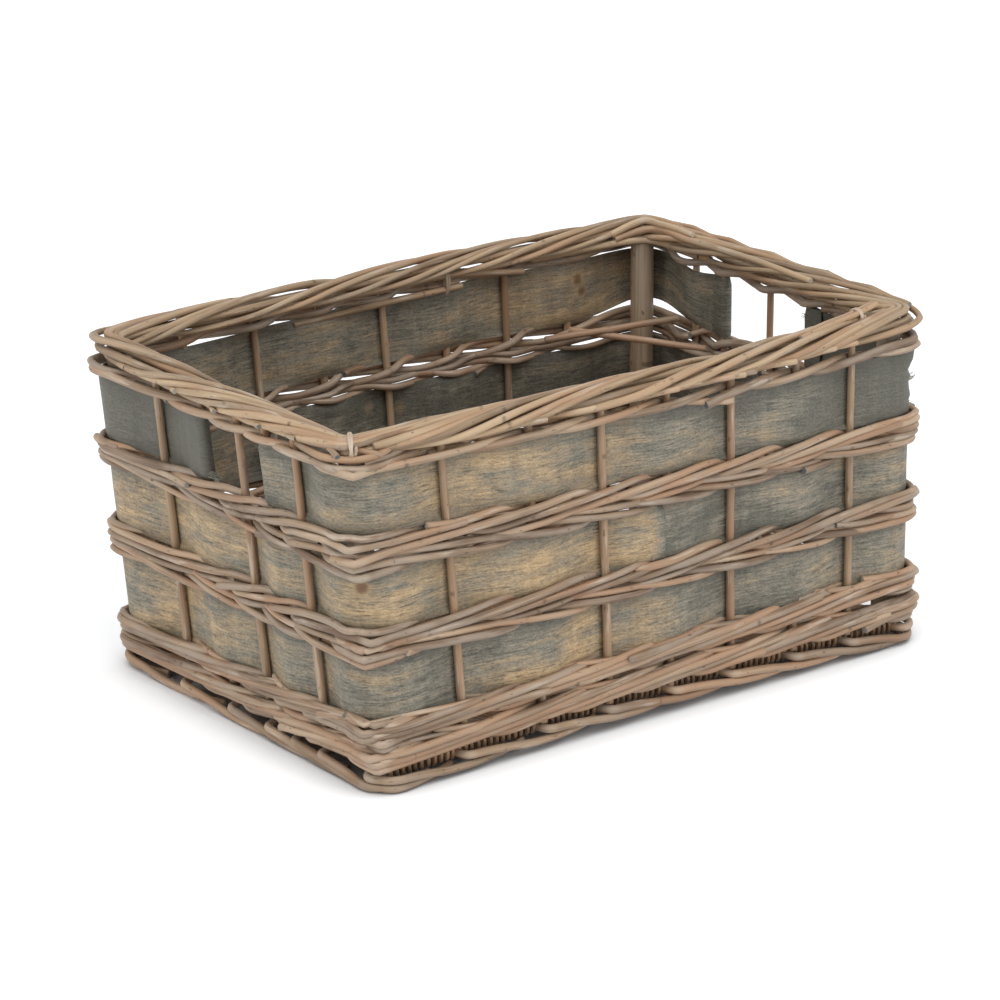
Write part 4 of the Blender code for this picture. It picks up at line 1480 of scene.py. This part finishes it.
class Sheets:
    """Closed thin sheets that become one strip piece."""

    def __init__(self, seed, bottom, top, tuck_below=TUCK, gaps=((), ()), crumple=FAR_CRUMPLE):
        self.chance = random.Random(seed)
        self.crumple = crumple
        self.gaps = [[(spot(wall, share), wide, high) for wall, share, wide, high in edge]
                     for edge in gaps]
        self.bottom = bottom - tuck_below
        self.top = top + TUCK
        self.places = []
        self.faces = []
        self.board = []
        self.warm = []
        self.edge = []

    def add(self, line, ragged, warmth):
        """One sheet along a line of (s, out), with its raggedness at both ends and its tones."""
        line = np.array(line)
        steps = np.linalg.norm(np.diff(line, axis=0), axis=1)
        length = np.concatenate(([0.0], np.cumsum(steps)))
        tangent = np.gradient(line, length, axis=0)
        tangent /= np.linalg.norm(tangent, axis=1)[:, None]
        start = self.chance.uniform(0, 30)
        first = len(self.places)
        rows = [(1, row / (STRIP_ROWS - 1)) for row in range(STRIP_ROWS)]
        rows += [(-1, share) for side, share in rows[::-1]]
        torn = {row: [self.chance.uniform(-1, 1) * r for r in ragged] for _, row in rows}
        for k, ((s, out), (ds, dout)) in enumerate(zip(line, tangent)):
            for side, share in rows:
                pull = torn[share][0] * (1 - ramp(length[k], 0.0, TORN_LENGTH))
                pull += torn[share][1] * (1 - ramp(length[-1] - length[k], 0.0, TORN_LENGTH))
                edge = 2 * share - 1
                wander = noise.noise(Vector((start + length[k] * 22, 3.0 if edge > 0 else 9.0, 0)))
                low_edge = self.bottom + self.pulled(s, False)
                z = between(low_edge, self.top - self.pulled(s, True), share)
                z += edge ** 3 * EDGE_WANDER * wander
                tucked = 1 - TUCK_LEAN * ramp(abs(edge), 0.80, 1.0)
                belly = BELLY * noise.noise(Vector((start + length[k] * 16, share * 1.5, 4)))
                away = from_middle(s, self.crumple)
                ragged_bend = math.exp(-(away / CRUMPLE_WIDTH) ** 2) * CRUMPLE
                belly += ragged_bend * noise.noise(Vector((length[k] * 60, share * 9, 8)))
                belly += ragged_bend * LIP_SHARE * ramp(share, 0.70, 0.97) ** 2
                offset = belly + side * STRIP_THICKNESS / 2
                across = out * tucked + dout * pull + ds * offset
                self.places.append(place(s + ds * pull - dout * offset, z, across))
                along = start + length[k] + pull
                self.board.append((along, share * BOARD_WIDTH, side * 0.5 + start))
                self.warm.append(warmth(s % RING, share))
                self.edge.append(abs(edge))
        ring = len(rows)
        for k in range(len(line) - 1):
            a, b = first + k * ring, first + (k + 1) * ring
            for m in range(ring):
                n = (m + 1) % ring
                self.faces.append((a + m, a + n, b + n, b + m))
        for base, flip in ((first, False), (first + (len(line) - 1) * ring, True)):
            for m in range(STRIP_ROWS - 1):
                face = (base + m, base + ring - 1 - m, base + ring - 2 - m, base + m + 1)
                self.faces.append(face[::-1] if flip else face)

    def pulled(self, s, upper):
        """How far an edge of the strip is pulled back at s along the ring."""
        pull = 0.0
        for middle, wide, high in self.gaps[upper]:
            pull += high * math.exp(-(from_middle(s, middle) / wide) ** 2)
        return pull

    def grow(self, name, knots=()):
        """The sheets as one mesh, with knots given as (middle, size)."""
        mesh = bpy.data.meshes.new(name)
        mesh.from_pydata([tuple(p) for p in self.places], [], self.faces)
        shaper = bmesh.new()
        shaper.from_mesh(mesh)
        bmesh.ops.recalc_face_normals(shaper, faces=shaper.faces)
        shaper.to_mesh(mesh)
        shaper.free()
        mesh.shade_smooth()
        mesh.set_sharp_from_angle(angle=math.radians(60))
        keep(mesh, "board", [x for point in self.board for x in point], "FLOAT_VECTOR")
        keep(mesh, "warm", self.warm)
        keep(mesh, "edge", self.edge)
        knotted = []
        for point in self.places:
            near = [math.exp(-((point - middle).length / size) ** 2) for middle, size in knots]
            knotted.append(max(near + [0.0]))
        keep(mesh, "knot", knotted)
        mesh.materials.append(STRIP_WOOD)
        print(f"{name}: {len(mesh.polygons)} faces")
        return in_scene(name, mesh)


print(f"sheets ready: {STRIP_ROWS} rows over a width, on two sides")

# %% [markdown]
# Faded patches
#
# No two spans of the strips have faded alike. For each strip, a list of places says how warm
# its wood is at the bottom edge and at the top edge, and the wood between is blended. 0 is the
# grey green of the dye, 1 is the ochre of bare wood, and below 0 the wood is stained darker.
# On the inside of the far wall the warmth also stands in for light: painted light on the top strip
# and painted shade on the middle strip.

# %% Patches
# Wall, share of its run, warmth at the bottom and at the top
TOP_PATCHES = (
    ("near", 0.00, 0.42, 0.40), ("near", 0.10, 0.60, 0.52), ("near", 0.20, 0.80, 0.68),
    ("near", 0.38, 0.60, 0.50), ("near", 0.60, 0.36, 0.18), ("near", 0.80, 0.16, -0.08),
    ("near", 0.95, -0.12, -0.32), ("right", 0.03, -0.45, -0.60), ("right", 0.30, -0.25, -0.35),
    # The far wall's warm entries also hold painted light on the upper inside of the basket
    ("right", 0.80, 0.40, 0.30), ("far", 0.12, 0.75, 0.65), ("far", 0.40, 0.50, 0.45),
    ("far", 0.80, 0.40, 0.35), ("left", 0.00, -0.15, -0.25), ("left", 0.40, -0.50, -0.60),
    ("left", 0.50, -0.50, -0.60), ("left", 0.70, 0.25, 0.15), ("left", 0.85, 0.35, 0.20),
    ("left", 0.99, 0.42, 0.30),
)
MIDDLE_PATCHES = (
    ("near", 0.00, 0.75, 0.65), ("near", 0.08, 0.75, 0.55), ("near", 0.125, 0.85, 0.60),
    ("near", 0.20, 0.95, 0.70), ("near", 0.36, 0.85, 0.60), ("near", 0.42, 0.70, 0.75),
    ("near", 0.49, 0.70, 0.70), ("near", 0.51, 0.00, 0.25), ("near", 0.64, -0.05, 0.20),
    ("near", 0.72, -0.05, 0.15), ("near", 0.85, 0.15, 0.40), ("near", 0.96, 0.30, 0.40),
    # The far wall's low entries also hold painted shade on the inside of the basket, lower down
    ("right", 0.10, 0.25, 0.20), ("right", 0.90, 0.00, 0.00), ("far", 0.30, -0.05, 0.00),
    ("far", 0.70, 0.10, 0.15), ("left", 0.05, 0.65, 0.50), ("left", 0.40, 0.75, 0.65),
    ("left", 0.70, 0.50, 0.40), ("left", 0.95, 0.55, 0.50),
)
BOTTOM_PATCHES = (
    ("near", 0.00, 0.50, 0.15), ("near", 0.10, 0.55, 0.10), ("near", 0.20, 0.75, 0.15),
    ("near", 0.36, 1.05, 0.55), ("near", 0.47, 0.90, 0.50), ("near", 0.53, 0.55, 0.10),
    ("near", 0.66, 0.50, 0.00), ("near", 0.75, 0.35, 0.10), ("near", 0.88, 0.45, 0.30),
    ("right", 0.10, 0.30, 0.20), ("right", 0.90, 0.20, 0.20), ("far", 0.50, 0.20, 0.25),
    ("left", 0.05, 0.60, 0.60), ("left", 0.25, 0.90, 0.75), ("left", 0.45, 0.65, 0.45),
    ("left", 0.75, 0.45, 0.30), ("left", 0.95, 0.45, 0.20),
)


def warmth_of(patches):
    """A function from distance along the ring and share of the width to warmth."""
    rows = np.array([(spot(wall, share), low, high) for wall, share, low, high in patches])

    def read(s, share):
        low, high = (np.interp(s, rows[:, 0], rows[:, k], period=RING) for k in (1, 2))
        return float(between(low, high, share))
    return read


print("warmth halfway along the near wall:", warmth_of(MIDDLE_PATCHES)(spot("near", 0.5), 0.5))

# %% Strips in place
RIGHT_FIRST = LAST_STAKES[0] + 1
LEFT_FIRST = LAST_STAKES[2] + 1
LAP_UNDER = 0.028
LAP_SHORT = 0.007
HOLE_TAIL = 0.012


def ring_strip(node, lap_stake, seed, patches, knots=(), tuck_below=TUCK):
    """A strip that goes all round and laps over its own start."""
    low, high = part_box(node)
    sheets = Sheets(seed, low.z, high.z, tuck_below)
    marks = strip_line(lap_stake, lap_stake)
    start = marks[0][0]
    marks[0] = (start - LAP_UNDER, STRIP_REACH * 0.1)
    marks.insert(1, (start, STRIP_REACH))
    marks[-1] = (start + RING - LAP_SHORT, STRIP_REACH * 0.95 + STRIP_THICKNESS + 0.0002)
    marks.insert(-1, (start + RING - LAP_UNDER, STRIP_REACH * 0.3 + STRIP_THICKNESS))
    sheets.add(drawn(marks), (0.001, 0.0006), warmth_of(patches))
    return seat(sheets.grow("wood_" + node, knots), "strip_wood", node)


def hooked_strip(node, first, last, seed, patches, knots=()):
    """A top strip that folds back round the stakes at the edges of the two hand holes."""
    low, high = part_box(node)
    sheets = Sheets(seed, low.z, high.z, gaps=TOP_STRIP_GAPS, crumple=CORNER_MIDDLES[0])
    line = drawn(strip_line(first, last))
    line = hooked(line[0][0], -1, HOLE_TAIL)[::-1] + line + hooked(line[-1][0], 1, HOLE_TAIL)
    sheets.add(line, (0.003, 0.003), warmth_of(patches))
    return seat(sheets.grow("wood_" + node, knots), "strip_wood", node)


CORNER_KNOTS = ((place(CORNER_MIDDLES[3] + 0.001, 0.1415, 0.002), 0.0080),
                (place(spot("far", 0.523), 0.1405, -STRIP_REACH), 0.0085),
                (place(spot("far", 0.465), 0.1340, -STRIP_REACH), 0.0100))
ring_strip("strip_middle", 3, 61, MIDDLE_PATCHES, CORNER_KNOTS, tuck_below=MIDDLE_TUCK)
ring_strip("strip_bottom", 15, 62, BOTTOM_PATCHES, tuck_below=BOTTOM_TUCK)
hooked_strip("strip_top_front", LEFT_FIRST + 3, RIGHT_FIRST + 1, 63, TOP_PATCHES)
BACK_KNOTS = ((place(spot("far", 0.105), 0.2040, -STRIP_REACH), 0.0085),
              (place(spot("far", 0.095), 0.1950, -STRIP_REACH), 0.0075))
hooked_strip("strip_top_back", RIGHT_FIRST + 3, LEFT_FIRST + 1, 64, TOP_PATCHES, BACK_KNOTS)

# %% [markdown]
# Frayed ends
#
# Torn chipwood ends in loose fibres. They show at the hand holes, where the top strips are
# folded back, and at the right corner. Each is a very thin rod that bends away at random.

# %% Fibres
FIBRE_WILLOW = willow("strip_fibres", (0.08, 0.08, 0.07), (0.26, 0.25, 0.20),
                      (0.18, 0.16, 0.12), (0.16, 0.16, 0.14))
FIBRE_RADIUS = 0.00028
FIBRE_SWING = 0.0015
LEFT_FOLD = STAKE_S[LEFT_FIRST + 1] + STRIP_REACH
LEFT_EDGE = STAKE_S[LEFT_FIRST + 3] - STRIP_REACH
RIGHT_FOLD = STAKE_S[RIGHT_FIRST + 1] + STRIP_REACH
RIGHT_EDGE = STAKE_S[RIGHT_FIRST + 3] - STRIP_REACH
# Place along the ring, direction, height on the strip, spread of it, reach and number
FRAYS = (
    (LEFT_FOLD, 1, 0.04, 0.0022, 0.017, 44), (LEFT_EDGE, -1, 0.96, 0.0030, 0.008, 22),
    (LEFT_EDGE, -1, 0.10, 0.0040, 0.005, 6), (RIGHT_FOLD, 1, 0.93, 0.0015, 0.010, 16),
    (RIGHT_EDGE, -1, 0.45, 0.0150, 0.003, 10),
)
CORNER_FRAYS = 14


def make_fibres():
    bundle = Bundle(71)
    chance = bundle.chance
    low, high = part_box("strip_top_back")[0].z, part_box("strip_top_back")[1].z
    for start, forward, height, spread, reach, count in FRAYS:
        for _ in range(count):
            s = start - forward * 0.002
            z = between(low, high, height) + chance.uniform(-1, 1) * spread
            out = chance.uniform(-0.0005, 0.0030)
            away = chance.uniform(0.3, 1.0) * reach * forward
            drop, swing = (chance.uniform(-FIBRE_SWING, FIBRE_SWING) for _ in range(2))
            points = [place(s + away * t, z + drop * t * t, out + swing * t * t)
                      for t in (0.0, 0.25, 0.5, 0.75, 1.0)]
            bundle.add(points, FIBRE_RADIUS, FIBRE_RADIUS * 0.5)
    for _ in range(CORNER_FRAYS):
        s = CORNER_MIDDLES[0] + chance.uniform(-0.002, 0.004)
        z = between(low, high, chance.choice((0.55, 0.60, 0.65, 0.10)))
        points = [place(s + 0.001 * t, z + chance.uniform(-0.0003, 0.0003) * t, 0.002 + 0.001 * t)
                  for t in range(chance.randint(3, 6))]
        bundle.add(points, FIBRE_RADIUS, FIBRE_RADIUS * 0.5)
    return seat(bundle.grow("strip_fibres", FIBRE_WILLOW, sides=4), "strip_wood")


make_fibres()

# %% [markdown]
# Floor, background and light
#
# The basket was photographed under a soft light from above, between two soft boxes at the height
# of the basket, which light its outside but hardly its inside. A wide sun, two area lamps and
# an even sky give that, at a level where a colour looks as it was mixed. The white of the floor
# and of the background is added for the camera alone, so it throws no light on the undersides
# of the rods. The floor keeps its soft shadow.

# %% Floor and light
FLOOR_HALF = 6.0
FLOOR_TONE = (0.705, 0.72, 0.735)
FLOOR_GLOW = 0.48
CONTACT = 0.045
SKY = 0.42


def seen_directly(tree):
    """1 for what the camera sees, also in a gloss or through glass, and 0 for light on things."""
    rays = tree.add("ShaderNodeLightPath")
    direct = rays["Is Camera Ray"].maths("MAXIMUM", rays["Is Camera Ray"], rays["Is Glossy Ray"])
    return direct.maths("MAXIMUM", direct, rays["Is Transmission Ray"])


def make_floor():
    mesh = bpy.data.meshes.new("floor")
    corners = [(-FLOOR_HALF, -FLOOR_HALF, 0), (FLOOR_HALF, -FLOOR_HALF, 0),
               (FLOOR_HALF, FLOOR_HALF, 0), (-FLOOR_HALF, FLOOR_HALF, 0)]
    mesh.from_pydata(corners, [], [(0, 1, 2, 3)])
    piece = in_scene("floor", mesh)
    finish, tree, shader = new_finish("floor")
    shader.inputs["Base Color"].default_value = (*FLOOR_TONE, 1)
    shader.inputs["Roughness"].default_value = 0.9
    # The added white fades close under the basket, which keeps its contact shadow
    clear = tree.add("ShaderNodeAmbientOcclusion", {"samples": 8}, {"Distance": CONTACT}, "AO")
    white = seen_directly(tree) * clear.between(0.25, 0.85) * FLOOR_GLOW
    glow = tree.add("ShaderNodeCombineXYZ", {}, {0: white, 1: white, 2: white})
    feed(tree, shader, "Emission Color", glow)
    shader.inputs["Emission Strength"].default_value = 1.0
    mesh.materials.append(finish)
    piece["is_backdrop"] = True


make_floor()
world = bpy.data.worlds.new("studio")
bpy.context.scene.world = world
world.use_nodes = True
world_tree = Tree(world.node_tree)
background = world.node_tree.nodes["Background"]
background.inputs["Color"].default_value = (1.0, 1.0, 1.0, 1)
strength = SKY + seen_directly(world_tree) * (1 - SKY)
world_tree.nodes_in.links.new(strength.socket, background.inputs["Strength"])


def soft_sun(name, direction, energy, spread):
    """A sun with a wide disc, which throws soft shadows."""
    lamp = bpy.data.lights.new(name, "SUN")
    lamp.energy = energy
    lamp.angle = math.radians(spread)
    lamp_object = in_scene(name, lamp)
    lamp_object.rotation_euler = Vector(direction).to_track_quat("-Z", "Y").to_euler()


def soft_box(name, place_at, size, energy):
    """A wide flat lamp that looks at the middle of the basket."""
    lamp = bpy.data.lights.new(name, "AREA")
    lamp.size = size
    lamp.energy = energy
    lamp_object = in_scene(name, lamp)
    lamp_object.location = place_at
    aim = Vector((0, 0, RIM_TOP / 2)) - Vector(place_at)
    lamp_object.rotation_euler = aim.to_track_quat("-Z", "Y").to_euler()


soft_sun("top_light", (0.15, 0.40, -1.0), 1.6, 60)
soft_box("left_light", (-2.5, 0.1, 0.5), 1.4, 22)
soft_box("front_light", (0.7, -2.5, 0.5), 1.4, 18)
bpy.context.scene.view_settings.view_transform = "Standard"
print("floor, sky and 3 lamps ready")

# %% Sizes, and the end
low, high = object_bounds()
print("visual box:", [round(v, 4) for v in (*low, *high)])
